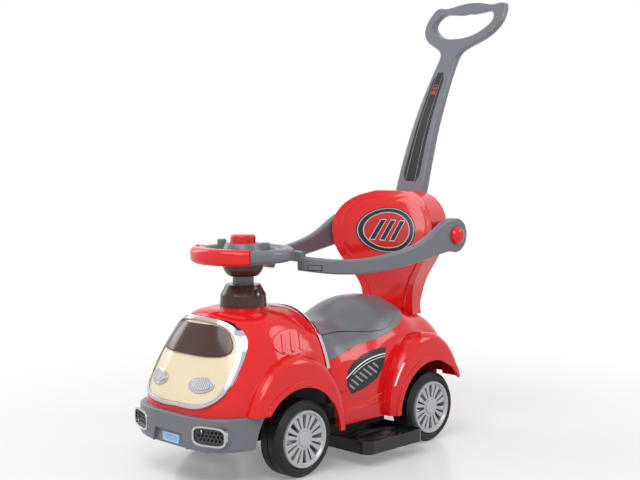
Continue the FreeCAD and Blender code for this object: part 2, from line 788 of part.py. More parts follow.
def wheel_ring(grow):
    outer_r = wheel_outer_radius + grow
    inner_r = wheel_outer_radius - wheel_rim_width - grow
    bottom = wheel_rim_bottom - grow
    top = wheel_rim_top + grow
    bevel = wheel_rim_width / 4
    return turned_z([(inner_r + bevel, bottom), (outer_r - bevel, bottom), (outer_r, bottom + bevel),
                     (outer_r, top - bevel),
                     (outer_r - bevel, top), (inner_r + bevel, top), (inner_r, top - bevel),
                     (inner_r, bottom + bevel)], 0, column_y)


plate_bottom = wheel_rim_bottom - wheel_plate_thickness
plate_top = wheel_rim_bottom + wheel_plate_thickness * 2
hub_top = wheel_rim_top + wheel_plate_thickness * 2
half_spoke = wheel_spoke_width / 2
spokes = box(-rim_mid, rim_mid, column_y - half_spoke, column_y + half_spoke, wheel_rim_bottom, plate_top)
back_spoke = box(-half_spoke, half_spoke, column_y, column_y + rim_mid, wheel_rim_bottom, plate_top)
hub = cone_z(wheel_hub_radius, wheel_hub_radius - wheel_plate_thickness * 2, plate_top, hub_top, 0,
             column_y)
hub_base = rod_z(wheel_hub_radius, cup_top, plate_top, 0, column_y)
wheel = wheel_ring(0).fuse([spokes, back_spoke, hub, hub_base])
head_seat = hub_top - horn_travel - wall
guide_floor = head_seat - horn_guide_length - horn_travel
chime_x = chime_spacing / 2
chime_floor = plate_top - chime_height - chime_travel - part_gap
chime_pockets = []
for side in (-1, 1):
    wheel = wheel.fuse(rod_z(chime_diameter / 2 + wall, chime_floor - wall, plate_top + wall / 2,
                             chime_x * side, column_y))
    chime_pockets.append(rod_z(chime_diameter / 2 + part_gap, chime_floor, plate_top + overrun,
                               chime_x * side, column_y))
wheel = wheel.cut([rod_z(horn_diameter / 2 + part_gap, head_seat, hub_top + overrun, 0, column_y),
                   rod_z(horn_guide_diameter / 2 + part_gap, guide_floor, head_seat + overrun, 0,
                         column_y),
                   rod_z(rod_radius, 0, guide_floor - wall, 0, column_y)] + chime_pockets)
keep("steering_wheel", wheel)
wedge_reach = wheel_outer_radius * 3
wedge_angle = radians(cover_half_angle)
wedge_points = [(0, column_y),
                (-wedge_reach * sin(wedge_angle), column_y - wedge_reach * cos(wedge_angle)),
                (wedge_reach * sin(wedge_angle), column_y - wedge_reach * cos(wedge_angle))]
wedge_wire = Part.makePolygon([V(x, y, 0) for x, y in wedge_points + wedge_points[:1]])
wedge = prism(wedge_wire, V(0, 0, high))
keep("wheel_rim_cover", wheel_ring(cover_thickness).cut(wheel_ring(0)).common(wedge).cut([spokes]))

horn_bottom = head_seat + horn_travel + part_gap
horn_top = hub_top + horn_height
horn = rod_z(horn_diameter / 2, horn_bottom, horn_top, 0, column_y)
horn = horn.makeFillet(horn_edge_round, [e for e in horn.Edges if e.BoundBox.ZMin > horn_top - part_gap])
horn = horn.fuse(rod_z(horn_guide_diameter / 2, horn_bottom - horn_guide_length, horn_bottom, 0,
                       column_y))
keep("horn_button", horn)
chime = rod_z(chime_diameter / 2, chime_floor + chime_travel + part_gap, plate_top + chime_height,
              chime_x, column_y)
sided("chime_button", chime)

# Steering linkage under the hood.
tie_y = front_axle - steering_arm_reach
crank_reach = column_y - tie_y
arm_top = axle_height + knuckle_barrel_height / 2
tie_bottom = arm_top + part_gap * 2
tie_top = tie_bottom + tie_rod_thickness
crank_bottom = tie_top + part_gap * 2
crank_top = crank_bottom + crank_thickness
pan_top = pan_bottom + pan_thickness
rod_foot = pan_bottom - pan_thickness
link_radius = linkage_pin_diameter / 2
steering_rod = rod_z(rod_radius, rod_foot, guide_floor - wall, 0, column_y)
crank = box(-crank_width / 2, crank_width / 2, tie_y, column_y, crank_bottom, crank_top)
crank = crank.fuse([rod_z(crank_width / 2, crank_bottom, crank_top, 0, tie_y),
                    rod_z(crank_width / 2, crank_bottom, crank_top, 0, column_y)])
crank_pin = rod_z(link_radius, tie_bottom - part_gap, crank_top, 0, tie_y)
keep("steering_rod", steering_rod.fuse([crank, crank_pin]))


def slot(x, side_room, back_room):
    half = link_radius + side_room
    bottom = tie_bottom - overrun
    top = tie_top + overrun
    return box(x - half, x + half, tie_y - link_radius - part_gap, tie_y + link_radius + back_room,
               bottom, top)


king_x = kingpin_spacing / 2
tie_end = king_x + tie_rod_width / 2 + wall
tie_rod = box(-tie_end, tie_end, tie_y - tie_rod_width / 2, tie_y + tie_rod_width / 2 + tie_slot_room,
              tie_bottom, tie_top)
tie_rod = tie_rod.makeFillet(tie_rod_width / 3,
                             [e for e in tie_rod.Edges if e.BoundBox.ZLength > tie_rod_thickness / 2])
tie_rod = tie_rod.cut([slot(0, tie_side_room, tie_slot_room), slot(king_x, tie_side_room, tie_slot_room),
                       slot(-king_x, tie_side_room, tie_slot_room)])
keep("tie_rod", tie_rod)

king_radius = kingpin_diameter / 2
barrel_radius = knuckle_barrel_diameter / 2
barrel_bottom = axle_height - knuckle_barrel_height / 2
boss_end = wheel_in - part_gap * 4
axle_radius = axle_diameter / 2
knuckle = rod_z(barrel_radius, barrel_bottom, arm_top, king_x, front_axle)
boss = rod_x(axle_radius * 2, king_x, boss_end, front_axle, axle_height)
steer_arm = box(king_x - knuckle_arm_width / 2, king_x + knuckle_arm_width / 2, tie_y, front_axle,
                arm_top - knuckle_arm_thickness, arm_top)
arm_end = rod_z(knuckle_arm_width / 2, arm_top - knuckle_arm_thickness, arm_top, king_x, tie_y)
arm_pin = rod_z(link_radius, arm_top - knuckle_arm_thickness, tie_top + part_gap, king_x, tie_y)
king_bore = rod_z(king_radius + running_clearance, 0, high, king_x, front_axle)
axle_root = king_x + king_radius + wall
stub_bore = rod_x(axle_radius, axle_root, wheel_out, front_axle, axle_height)
knuckle = knuckle.fuse([boss, steer_arm, arm_end, arm_pin]).cut([king_bore, stub_bore])
sided("knuckle", knuckle)
upper_lug = arm_top + part_gap
lower_lug = barrel_bottom - part_gap
kingpin = rod_z(king_radius, lower_lug - bracket_thickness, upper_lug + bracket_thickness, king_x,
                front_axle)
kingpin = kingpin.fuse(rod_z(king_radius + wall / 2, upper_lug + bracket_thickness,
                             upper_lug + bracket_thickness + wall, king_x, front_axle))
sided("kingpin", kingpin)

nut_in = wheel_out - rim_disc_thickness - hub_cap_thickness - push_nut_thickness
axle_tip = nut_in + push_nut_thickness
stub_axle = rod_x(axle_radius, axle_root, axle_tip, front_axle, axle_height)
stub_axle = stub_axle.fuse(rod_x(push_nut_diameter / 2, nut_in, axle_tip, front_axle, axle_height))
sided("stub_axle", stub_axle)
rear_rod = rod_x(axle_radius, -axle_tip, axle_tip, rear_axle, axle_height)
rear_nut = rod_x(push_nut_diameter / 2, nut_in, axle_tip, rear_axle, axle_height)
keep("rear_axle", rear_rod.fuse([rear_nut, mirrored(rear_nut)]))


# Wheels, built on the car's left with the axle along X.
def turned_x(points, y):
    wire = Part.makePolygon([V(x, y, axle_height + r) for x, r in points + points[:1]])
    return Part.Face(wire).revolve(V(0, y, axle_height), X_AXIS, 360)


lip_in = wheel_out - rim_lip
barrel_r = rim_radius - rim_lip
seat_r = rim_radius + part_gap
shoulder_r = tyre_radius - tyre_shoulder
half_groove = tyre_groove_width / 2
mid_x = (wheel_in + wheel_out) / 2
tread_in = wheel_in + tyre_shoulder
tread_out = wheel_out - tyre_shoulder
groove_r = tyre_radius - tyre_groove_depth
TYRE = [(wheel_in, barrel_r), (wheel_in, shoulder_r), (tread_in, tyre_radius),
        (mid_x - half_groove, tyre_radius),
        (mid_x - half_groove, groove_r), (mid_x + half_groove, groove_r),
        (mid_x + half_groove, tyre_radius),
        (tread_out, tyre_radius), (wheel_out, shoulder_r), (wheel_out, seat_r + rim_lip),
        (wheel_out - rim_dish, seat_r),
        (lip_in - part_gap, seat_r), (lip_in - part_gap, barrel_r)]


def spoke_slot(turn, outer_width, inner_width, y):
    inner = spoke_slot_inner_radius
    reach = barrel_r - rim_barrel_wall * 3 / 2
    corners = [(-inner_width / 2, inner), (inner_width / 2, inner), (outer_width / 2, reach),
               (-outer_width / 2, reach)]
    wire = Part.makePolygon([V(wheel_in, y + a, axle_height + r) for a, r in corners + corners[:1]])
    cutter = prism(wire, V(tyre_width + overrun, 0, 0))
    cutter.rotate(V(0, y, axle_height), X_AXIS, turn)
    return cutter


def wheel_set(node, y):
    disc_in = wheel_out - rim_disc_thickness - rim_dish
    disc_out = wheel_out - rim_dish
    barrel = turned_x([(wheel_in + wall, barrel_r - rim_barrel_wall), (wheel_in + wall, barrel_r),
                       (lip_in, barrel_r),
                       (lip_in, rim_radius), (wheel_out + rim_lip_proud, rim_radius - rim_lip_proud),
                       (wheel_out + rim_lip_proud, barrel_r), (disc_out, barrel_r - rim_barrel_wall)], y)
    disc = rod_x(barrel_r - rim_barrel_wall / 2, disc_in, disc_out, y, axle_height)
    centre = rod_x(hub_diameter / 2, wheel_in + part_gap, disc_in, y, axle_height)
    slots = []
    for k in range(SPOKE_PAIRS):
        turn = 360 / SPOKE_PAIRS * k
        slots.append(spoke_slot(turn, spoke_slot_wide, spoke_slot_wide / 2, y))
        slots.append(spoke_slot(turn + 180 / SPOKE_PAIRS, spoke_slot_narrow, spoke_slot_narrow / 2, y))
    bore = rod_x(axle_radius + running_clearance, wheel_in - overrun, wheel_out, y, axle_height)
    nut_room = rod_x(push_nut_diameter / 2 + part_gap, nut_in - part_gap, wheel_out + overrun, y,
                     axle_height)
    cap_in = disc_out - hub_cap_thickness / 2
    cap_room = rod_x(hub_cap_diameter / 2, cap_in, wheel_out + overrun, y, axle_height)
    cap_collar = rod_x(hub_cap_diameter / 2 + wall, disc_in, disc_out, y, axle_height)
    rim = barrel.fuse([disc, centre]).cut(slots).fuse(cap_collar).cut([bore, nut_room, cap_room])
    cap = rod_x(hub_cap_diameter / 2, cap_in, disc_out + hub_cap_thickness / 2, y, axle_height)
    cap_edges = [e for e in cap.Edges if e.BoundBox.XMin > disc_out]
    cap = cap.makeChamfer(hub_cap_thickness / 4, cap_edges)
    sided("tyre_" + node, turned_x(TYRE, y))
    sided("rim_" + node, rim)
    sided("hub_cap_" + node, cap)


wheel_set("front", front_axle)
wheel_set("rear", rear_axle)

# Floor pan with the kingpin brackets, rear axle blocks and footrest guides.
pan_nose = hood_middle - hood_fore_length * pan_nose_share
pan_tail = tail_end - wall * 2
pan_mid_front = front_arch + arch_radius + wall
pan_mid_back = rear_axle - arch_radius - wall
pan = box(-pan_half_width_front, pan_half_width_front, pan_nose, pan_tail, pan_bottom, pan_top)
pan_curb_top = sill_height + pan_curb
middle_half = pan_half_width_middle
pan_pieces = [box(-middle_half, middle_half, pan_mid_front, pan_mid_back, pan_bottom, pan_top),
              box(-pan_half_width_rear, pan_half_width_rear, pan_mid_front, pan_tail, pan_bottom,
                  pan_top)]
for side in (-1, 1):
    curb = box(0, wall, pan_mid_front, pan_mid_back, pan_bottom, pan_curb_top)
    pan_pieces.append(curb.translated(V(middle_half * side - (wall if side > 0 else 0), 0, 0)))
    block = box(-bearing_block_length / 2, bearing_block_length / 2, rear_axle - bearing_block_width / 2,
                rear_axle + bearing_block_width / 2, pan_bottom, axle_height + bearing_block_width / 2)
    pan_pieces.append(block.translated(V((pan_half_width_rear - bearing_block_length / 2) * side, 0, 0)))
web_in = king_x - barrel_radius - bracket_thickness - knuckle_swing_room
lug_half = barrel_radius + wall
bracket = box(web_in, web_in + bracket_thickness, front_axle - lug_half, front_axle + lug_half,
              lower_lug - bracket_thickness, upper_lug + bracket_thickness)
for bottom in (lower_lug - bracket_thickness, upper_lug):
    bracket = bracket.fuse([box(web_in, king_x, front_axle - lug_half, front_axle + lug_half, bottom,
                                bottom + bracket_thickness),
                            rod_z(lug_half, bottom, bottom + bracket_thickness, king_x, front_axle)])
bracket = bracket.fuse(box(0, web_in + bracket_thickness, front_axle - lug_half, front_axle + lug_half,
                           pan_bottom, pan_top))
bracket = bracket.cut(rod_z(king_radius, 0, upper_lug + bracket_thickness, king_x, front_axle))
pan_pieces += [bracket, mirrored(bracket)]
column_foot = rod_z(rod_radius + wall * 2, pan_bottom - pan_thickness, pan_top + pan_thickness, 0,
                    column_y)
pan_pieces.append(column_foot)

# Tongues of the two footrests run side by side in these guides.
tongue_top = footrest_top
tongue_bottom = tongue_top - rail_height
guide_in = footrest_inner - footrest_travel - guide_length - part_gap * 4
tongue_places = [footrest_front + footrest_length * share for share in TONGUE_SHARES]
guide_shift = rail_width * 2 - wall
guides = []
for y in tongue_places:
    room = rail_width / 2 + part_gap
    guide = box(guide_in, guide_in + guide_length, y - room - wall, y + room + wall,
                tongue_bottom - part_gap - wall, pan_bottom)
    slot_room = box(guide_in - overrun, guide_in + guide_length + overrun, y - room, y + room,
                    tongue_bottom - part_gap, tongue_top + part_gap)
    guides.append(guide.cut(slot_room))
right_guides = [mirrored(g).translated(V(0, guide_shift, 0)) for g in guides]
rib_front = footrest_front + footrest_length + part_gap * 4
pan_pieces.append(box(-pan_half_width_rear, pan_half_width_rear, rib_front, rib_front + wall,
                      tongue_bottom - part_gap - wall, pan_top))
pan = pan.fuse(pan_pieces + guides + right_guides)
pan = pan.cut([rod_x(axle_radius, -body_width, body_width, rear_axle, axle_height),
               rod_z(rod_radius + running_clearance, 0, high, 0, column_y)])
keep("floor_pan", pan)

tray = box(footrest_inner, footrest_out, footrest_front, footrest_front + footrest_length,
           footrest_top - footrest_depth, footrest_top)


def outer_corners(block):
    """Upright edges of a footrest block on its outer side."""
    upright = [e for e in block.Edges if e.BoundBox.ZLength > footrest_depth / 2]
    return [e for e in upright if e.BoundBox.XMin > footrest_inner + overrun]


tray = tray.makeFillet(footrest_corner, outer_corners(tray))
inner_tray = box(footrest_inner + footrest_wall, footrest_out - footrest_wall,
                 footrest_front + footrest_wall,
                 footrest_front + footrest_length - footrest_wall,
                 footrest_top - footrest_depth - overrun, footrest_top + overrun)
inner_tray = inner_tray.makeFillet(footrest_corner - footrest_wall, outer_corners(inner_tray))
floor_top = footrest_top - footrest_sink
floor_slab = box(footrest_inner, footrest_out, footrest_front, footrest_front + footrest_length,
                 floor_top - wall, floor_top)
tray = tray.cut(inner_tray.cut(floor_slab))
pad_y = footrest_front + footrest_length / 2
pad_x = (footrest_inner + footrest_out) / 2


def pad_ring(grow):
    half_a = V(0, footrest_length * pad_length_share / 2 - grow, 0)
    half_b = V((footrest_out - footrest_inner) * pad_width_share / 2 - grow, 0, 0)
    centre = V(pad_x, pad_y, floor_top - wall / 2)
    ring = Part.Ellipse(centre + half_a, centre + half_b, centre)
    return prism(Part.Wire([ring.toShape()]), V(0, 0, wall / 2 + footrest_rib_height))


pad_outer = pad_ring(0).cut(pad_ring(footrest_wall))
pad_inner = pad_ring(footrest_wall * 3).cut(pad_ring(footrest_wall * 4))
tray = tray.fuse([pad_outer, pad_inner])
tongues = []
for y in tongue_places:
    tongues.append(box(guide_in - wall, footrest_inner + footrest_wall / 2, y - rail_width / 2,
                       y + rail_width / 2, tongue_bottom, tongue_top))
keep("footrest_left", tray.fuse(tongues))
keep("footrest_right",
     mirrored(tray).fuse([mirrored(t).translated(V(0, guide_shift, 0)) for t in tongues]))

# Seat base with its storage bin, and the lid hinged at the front.
lid_zone = above_edge(LID_EDGE_SHARES, 0)
base_zone = seat_block
skirt = saddle_outer.common(base_zone).cut(lid_zone.fuse(saddle_inner))
ledge = saddle_outer.common(above_edge(LID_EDGE_SHARES, wall)).common(base_zone).cut(lid_zone)
bin_top = lid_hinge_height
bin_outer = box(-bin_half_width, bin_half_width, -bin_front_ahead, bin_back, bin_floor, bin_top)
bin_outer = bin_outer.cut(above_edge(LID_EDGE_SHARES, wall / 2))
bin_inner = box(-bin_half_width + wall, bin_half_width - wall, -bin_front_ahead + wall, bin_back - wall,
                bin_floor + wall, high)
seat_base = skirt.fuse([ledge, bin_outer]).cut(bin_inner)
pin_y = -lid_hinge_ahead
pin_radius = hinge_pin_diameter / 2
knuckle_radius = hinge_knuckle_diameter / 2
groove = rod_x(knuckle_radius + part_gap * 3, -lid_half_width, lid_half_width, pin_y, lid_hinge_height)
seat_base = seat_base.cut(groove)
lug_x = hinge_pin_length / 2
hinge_bore = rod_x(pin_radius, -body_width, body_width, pin_y, lid_hinge_height)
for side in (-1, 1):
    hinge_lug = box(-hinge_lug_width / 2, hinge_lug_width / 2, pin_y - knuckle_radius,
                    pin_y + knuckle_radius * 3, lid_hinge_height - knuckle_radius * 3, lid_hinge_height)
    hinge_lug = hinge_lug.fuse(rod_x(knuckle_radius, -hinge_lug_width / 2, hinge_lug_width / 2, pin_y,
                                     lid_hinge_height))
    hinge_lug = hinge_lug.translated(V((lug_x - hinge_lug_width / 2) * side, 0, 0))
    seat_base = seat_base.fuse(hinge_lug)
seat_base = seat_base.cut(hinge_bore)
keep("seat_base", seat_base)
keep("seat_hinge_pin", rod_x(pin_radius, -lug_x, lug_x, pin_y, lid_hinge_height))

lid_front = -lid_hinge_ahead - knuckle_radius / 2
lid_room = box(-body_width, body_width, lid_front, body_width * 2, 0, high)
lid_body = saddle_form(-lid_proud).common(above_edge(LID_EDGE_SHARES, -part_gap)).common(lid_room)
lid_hollow = saddle_form(lid_wall).common(box(-body_width, body_width, lid_front + lid_wall,
                                              body_width * 2, 0, high))
lid = lid_body.cut(lid_hollow)
lid_knuckle_in = lug_x - hinge_lug_width - hinge_knuckle_length - part_gap
for side in (-1, 1):
    eye = rod_x(knuckle_radius, 0, hinge_knuckle_length, pin_y, lid_hinge_height)
    shift = lid_knuckle_in if side > 0 else -lid_knuckle_in - hinge_knuckle_length
    eye = eye.translated(V(shift, 0, 0))
    web = box(shift, shift + hinge_knuckle_length, pin_y, pin_y + knuckle_radius, lid_hinge_height,
              high).common(lid_body)
    lid = lid.fuse([eye, web])
lug_room = []
for side in (-1, 1):
    half = hinge_lug_width / 2 + part_gap
    centre_x = (lug_x - hinge_lug_width / 2) * side
    lug_room.append(box(centre_x - half, centre_x + half, lid_front - overrun,
                        pin_y + knuckle_radius * 3 + wall, 0,
                        lid_hinge_height + knuckle_radius + part_gap))
lid = lid.cut(lug_room + [rod_x(pin_radius + running_clearance, -body_width, body_width, pin_y,
                                lid_hinge_height)])
keep("seat_lid", lid)


# Backrest: a shield-shaped shell, its rear cover, and side bosses for the guard.
def backrest_form(inset, back_grow):
    wires = []
    for height_share, width_share, set_share, depth_share, wing_share in evened(BACKREST_SHARES,
                                                                                BACKREST_STEPS):
        z = backrest_bottom + inset + (backrest_height - inset * 2) * height_share
        half = backrest_half_width * width_share - inset
        front = backrest_front + backrest_depth * set_share + inset
        edge = front - backrest_wing * wing_share
        back = backrest_front + backrest_depth * (set_share + depth_share) + back_grow
        side_back = edge + (back - edge) * backrest_side_share
        narrow = half * backrest_narrow_share
        corners = [V(-half, edge, z), V(half, edge, z), V(narrow, side_back, z), V(-narrow, side_back, z)]
        wires.append(Part.Wire([Part.Arc(corners[0], V(0, front, z), corners[1]).toShape(),
                                Part.makeLine(corners[1], corners[2]),
                                Part.Arc(corners[2], V(0, back, z), corners[3]).toShape(),
                                Part.makeLine(corners[3], corners[0])]))
    return Part.makeLoft(wires, True, False)


def handle_strip(ahead, thickness):
    """Band that follows the handle's side view, ahead of its front face by ahead."""
    points = [V(-body_width, handle_foot_back + handle_run * back - ahead,
                handle_foot + handle_rise * up) for back, up in HANDLE_SIDE_SHARES]
    front = spline(points)
    rear = spline([p + V(0, thickness, 0) for p in points])
    wire = Part.Wire([front, Part.makeLine(points[-1], rear.Vertexes[-1].Point), rear,
                      Part.makeLine(rear.Vertexes[0].Point, points[0])])
    return prism(wire, V(body_width * 2, 0, 0))


def outline_prism(shares, grow):
    """Block with the handle's front outline, grown sideways by grow."""
    points = []
    for out_share, up_share in shares:
        out = handle_half_width * out_share + (grow if out_share else 0)
        points.append((out, handle_foot + handle_rise * up_share))
    y = backrest_front - overrun
    half = spline([V(x, y, z) for x, z in points])
    other = half.mirror(V(0, 0, 0), X_AXIS)
    edges = [half, other]
    for end in (0, -1):
        if points[end][0]:
            edges.append(Part.makeLine(V(points[end][0], y, points[end][1]),
                                       V(-points[end][0], y, points[end][1])))
    return prism(Part.Wire(Part.__sortEdges__(edges)), V(0, handle_run * 2, 0))


handle = handle_strip(0, handle_thickness).common(outline_prism(HANDLE_SHARES, 0))
handle = handle.cut(outline_prism(HANDLE_HOLE_SHARES, 0))
keep("push_handle", handle)
inlay_points = [(handle_half_width * out, handle_foot + handle_rise * up) for out,
                up in HANDLE_INLAY_SHARES]
inlay_loop = inlay_points + [(-x, z) for x, z in reversed(inlay_points)]
inlay_y = backrest_front - overrun
inlay_prism = prism(Part.makePolygon([V(x, inlay_y, z) for x, z in inlay_loop + inlay_loop[:1]]),
                    V(0, handle_run * 2, 0))
keep("handle_inlay", handle_strip(inlay_proud + skin_gap, inlay_proud).common(inlay_prism))

socket = handle_strip(handle_socket_gap,
                      handle_thickness + handle_socket_gap * 2).common(outline_prism(HANDLE_SHARES,
                                                                                     handle_socket_gap))
rest_outer = backrest_form(0, 0)
rest_inner = backrest_form(backrest_wall, overrun * 2)
boss_in = backrest_half_width * boss_share
boss_out = guard_arm_inside - part_gap
boss_left = rod_x(guard_hub_radius - wall, boss_in, boss_out, guard_pivot_back, guard_pivot_height)
rest = rest_outer.cut(rest_inner).fuse([boss_left, mirrored(boss_left)])
pin_bore = rod_x(guard_pin_diameter / 2, boss_in, boss_out, guard_pivot_back, guard_pivot_height)
rest = rest.cut([saddle_outer, socket, pin_bore, mirrored(pin_bore)])


def contour_prism(inset):
    """Block inside the backrest's front outline, drawn in by inset."""
    half = [(backrest_half_width * row[1] - inset, backrest_bottom + backrest_height * row[0] - overrun)
            for row in BACKREST_SHARES[:-2]]
    top = backrest_bottom + backrest_height - inset
    y = backrest_front - backrest_wing * 2
    right = spline([V(x, y, z) for x, z in half] + [V(0, y, top)])
    left = mirrored(right)
    foot = Part.makeLine(V(-half[0][0], y, half[0][1]), V(half[0][0], y, half[0][1]))
    return prism(Part.Wire(Part.__sortEdges__([right, left, foot])), V(0, backrest_depth, 0))


contour = contour_prism(contour_inset).cut(contour_prism(contour_inset + contour_width))
front_skin = rest_outer.cut(rest_outer.translated(V(0, contour_depth, 0)))
rest = rest.cut(contour.common(front_skin)).fuse(tenon)
keep("backrest_shell", rest)
cover = rest_outer.cut(rest_outer.translated(V(0, -backrest_wall,
                                               0))).common(backrest_form(backrest_wall + part_gap,
                                                                         overrun * 2))
cover = cover.cut([saddle_outer, socket, tenon, boss_left, mirrored(boss_left)])
keep("backrest_cover", cover)
badge_centre = V(0, backrest_front - backrest_wing * 2, badge_height)
badge_oval = Part.Ellipse(badge_centre + V(badge_half_width, 0, 0),
                          badge_centre + V(0, 0, badge_half_height), badge_centre)
badge_bar = prism(Part.Wire([badge_oval.toShape()]), V(0, backrest_depth, 0))
badge_back = rest_outer.translated(V(0, -skin_gap, 0))
keep("backrest_badge", rest_outer.translated(V(0, -badge_proud, 0)).cut(badge_back).common(badge_bar))


# Guard bar: two arms, a joiner at the front, pivot pins and release buttons.
def guard_arm():
    centre = [(guard_reach * out, guard_pivot_back - guard_reach * ahead) for out,
              ahead in GUARD_PLAN_SHARES]
    half = guard_arm_thickness / 2
    outer_points = []
    inner_points = []
    for k in range(len(centre)):
        before = centre[max(k - 1, 0)]
        after = centre[min(k + 1, len(centre) - 1)]
        along = V(after[0] - before[0], after[1] - before[1], 0).normalize()
        place = V(centre[k][0], centre[k][1], 0)
        side = V(-along.y, along.x, 0) * half
        outer_points.append(place + side)
        inner_points.append(place - side)
    left = spline(outer_points)
    right = spline(inner_points)
    plan = Part.Wire([left, Part.makeLine(outer_points[-1], inner_points[-1]), right,
                      Part.makeLine(inner_points[0], outer_points[0])])
    plan_bar = prism(plan, V(0, 0, high))
    tops = [V(0, guard_pivot_back - guard_reach * ahead,
              guard_pivot_height + guard_reach * up) for ahead, up in GUARD_TOP_SHARES]
    lows = [V(0, guard_pivot_back - guard_reach * ahead,
              guard_pivot_height + guard_reach * up) for ahead, up in GUARD_LOW_SHARES]
    upper = spline(tops)
    lower = spline(lows)
    side_wire = Part.Wire([upper, Part.makeLine(tops[-1], lows[-1]), lower,
                           Part.makeLine(lows[0], tops[0])])
    bar = plan_bar.common(prism(side_wire, V(body_width, 0, 0)))
    return bar.makeFillet(guard_edge_round, [e for e in bar.Edges if e.Length > guard_reach / 2])


arm_out = guard_arm_inside + guard_arm_thickness
arm = guard_arm().fuse(rod_x(guard_hub_radius, guard_arm_inside, arm_out, guard_pivot_back,
                             guard_pivot_height))
pin_end = guard_arm_inside + guard_arm_thickness / 3
button_floor = pin_end + part_gap
button_in = button_floor + guard_button_travel + part_gap
button_radius = guard_button_diameter / 2
arm = arm.cut([rod_x(guard_pin_diameter / 2 + running_clearance, 0, button_floor + overrun,
                     guard_pivot_back, guard_pivot_height),
               rod_x(button_radius + part_gap, button_floor, body_width, guard_pivot_back,
                     guard_pivot_height)])
latch_out = guard_reach * latch_share
latch_y = guard_pivot_back - guard_reach
latch_z = guard_pivot_height - guard_reach * latch_drop_share
latch = box(-latch_out, latch_out, latch_y - guard_latch_thickness / 2,
            latch_y + guard_latch_thickness / 2,
            latch_z - guard_latch_height / 2, latch_z + guard_latch_height / 2)
latch = latch.makeFillet(guard_latch_thickness / 3,
                         [e for e in latch.Edges if e.BoundBox.XLength > latch_out])
sided("guard_arm", arm.cut(latch))
keep("guard_joiner", latch)
sided("guard_pin", rod_x(guard_pin_diameter / 2, boss_in, pin_end, guard_pivot_back, guard_pivot_height))
button = rod_x(button_radius, button_in, arm_out + guard_button_proud, guard_pivot_back,
               guard_pivot_height)
button_edges = [e for e in button.Edges if e.BoundBox.XMin > arm_out]
sided("guard_button", button.makeFillet(guard_button_proud - part_gap * 2, button_edges))

os.makedirs("parts", exist_ok=True)
for node, shape in parts.items():
    shape.translated(V(0, -origin_y, 0)).exportStep("parts/" + node + ".step")
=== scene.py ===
"""Ride-on push car: finishes, printed films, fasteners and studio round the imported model."""
import json
import math

import bmesh
import bpy
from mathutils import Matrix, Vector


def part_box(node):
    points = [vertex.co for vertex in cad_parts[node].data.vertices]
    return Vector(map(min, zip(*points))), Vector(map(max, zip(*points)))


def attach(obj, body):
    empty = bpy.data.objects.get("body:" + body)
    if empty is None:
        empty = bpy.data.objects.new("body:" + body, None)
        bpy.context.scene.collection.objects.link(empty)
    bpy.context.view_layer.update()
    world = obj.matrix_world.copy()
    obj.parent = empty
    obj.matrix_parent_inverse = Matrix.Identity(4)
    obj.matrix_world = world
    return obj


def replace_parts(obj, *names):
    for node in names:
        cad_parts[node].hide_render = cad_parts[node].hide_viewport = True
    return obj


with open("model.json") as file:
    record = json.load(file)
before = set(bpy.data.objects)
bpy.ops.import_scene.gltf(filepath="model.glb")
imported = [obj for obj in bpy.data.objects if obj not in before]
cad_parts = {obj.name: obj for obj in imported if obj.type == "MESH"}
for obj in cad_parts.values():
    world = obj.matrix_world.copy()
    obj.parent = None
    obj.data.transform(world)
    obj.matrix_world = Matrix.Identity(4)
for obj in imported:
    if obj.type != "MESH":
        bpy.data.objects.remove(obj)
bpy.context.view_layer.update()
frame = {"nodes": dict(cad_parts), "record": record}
nodes = frame["nodes"]

CAR_SHIFT = 68.5  # mm from the middle of the wheelbase to the middle of the whole car
QUARTER_TURN = math.pi / 2


def car(y, z):
    """A point of the car's side, in millimetres from the middle of the wheelbase, in the frame's metres."""
    return ((y - CAR_SHIFT) / 1000, z / 1000)


class Wire:
    """One shader socket that takes part in plain arithmetic."""

    def __init__(self, finish, socket):
        self.finish = finish
        self.socket = socket

    def math(self, operation, first, *others):
        return self.finish.node("Math", {"operation": operation}, dict(enumerate((first,) + others)))

    def __add__(self, other):
        return self.math("ADD", self, other)

    def __sub__(self, other):
        return self.math("SUBTRACT", self, other)

    def __rsub__(self, other):
        return self.math("SUBTRACT", other, self)

    def __mul__(self, other):
        return self.math("MULTIPLY", self, other)

    def __truediv__(self, other):
        return self.math("DIVIDE", self, other)

    def __abs__(self):
        return self.math("ABSOLUTE", self)

    def __gt__(self, other):
        return self.math("GREATER_THAN", self, other)

    def __lt__(self, other):
        return self.math("LESS_THAN", self, other)

    def __and__(self, other):
        return self.math("MINIMUM", self, other)

    def __or__(self, other):
        return self.math("MAXIMUM", self, other)

    __radd__ = __add__
    __rmul__ = __mul__


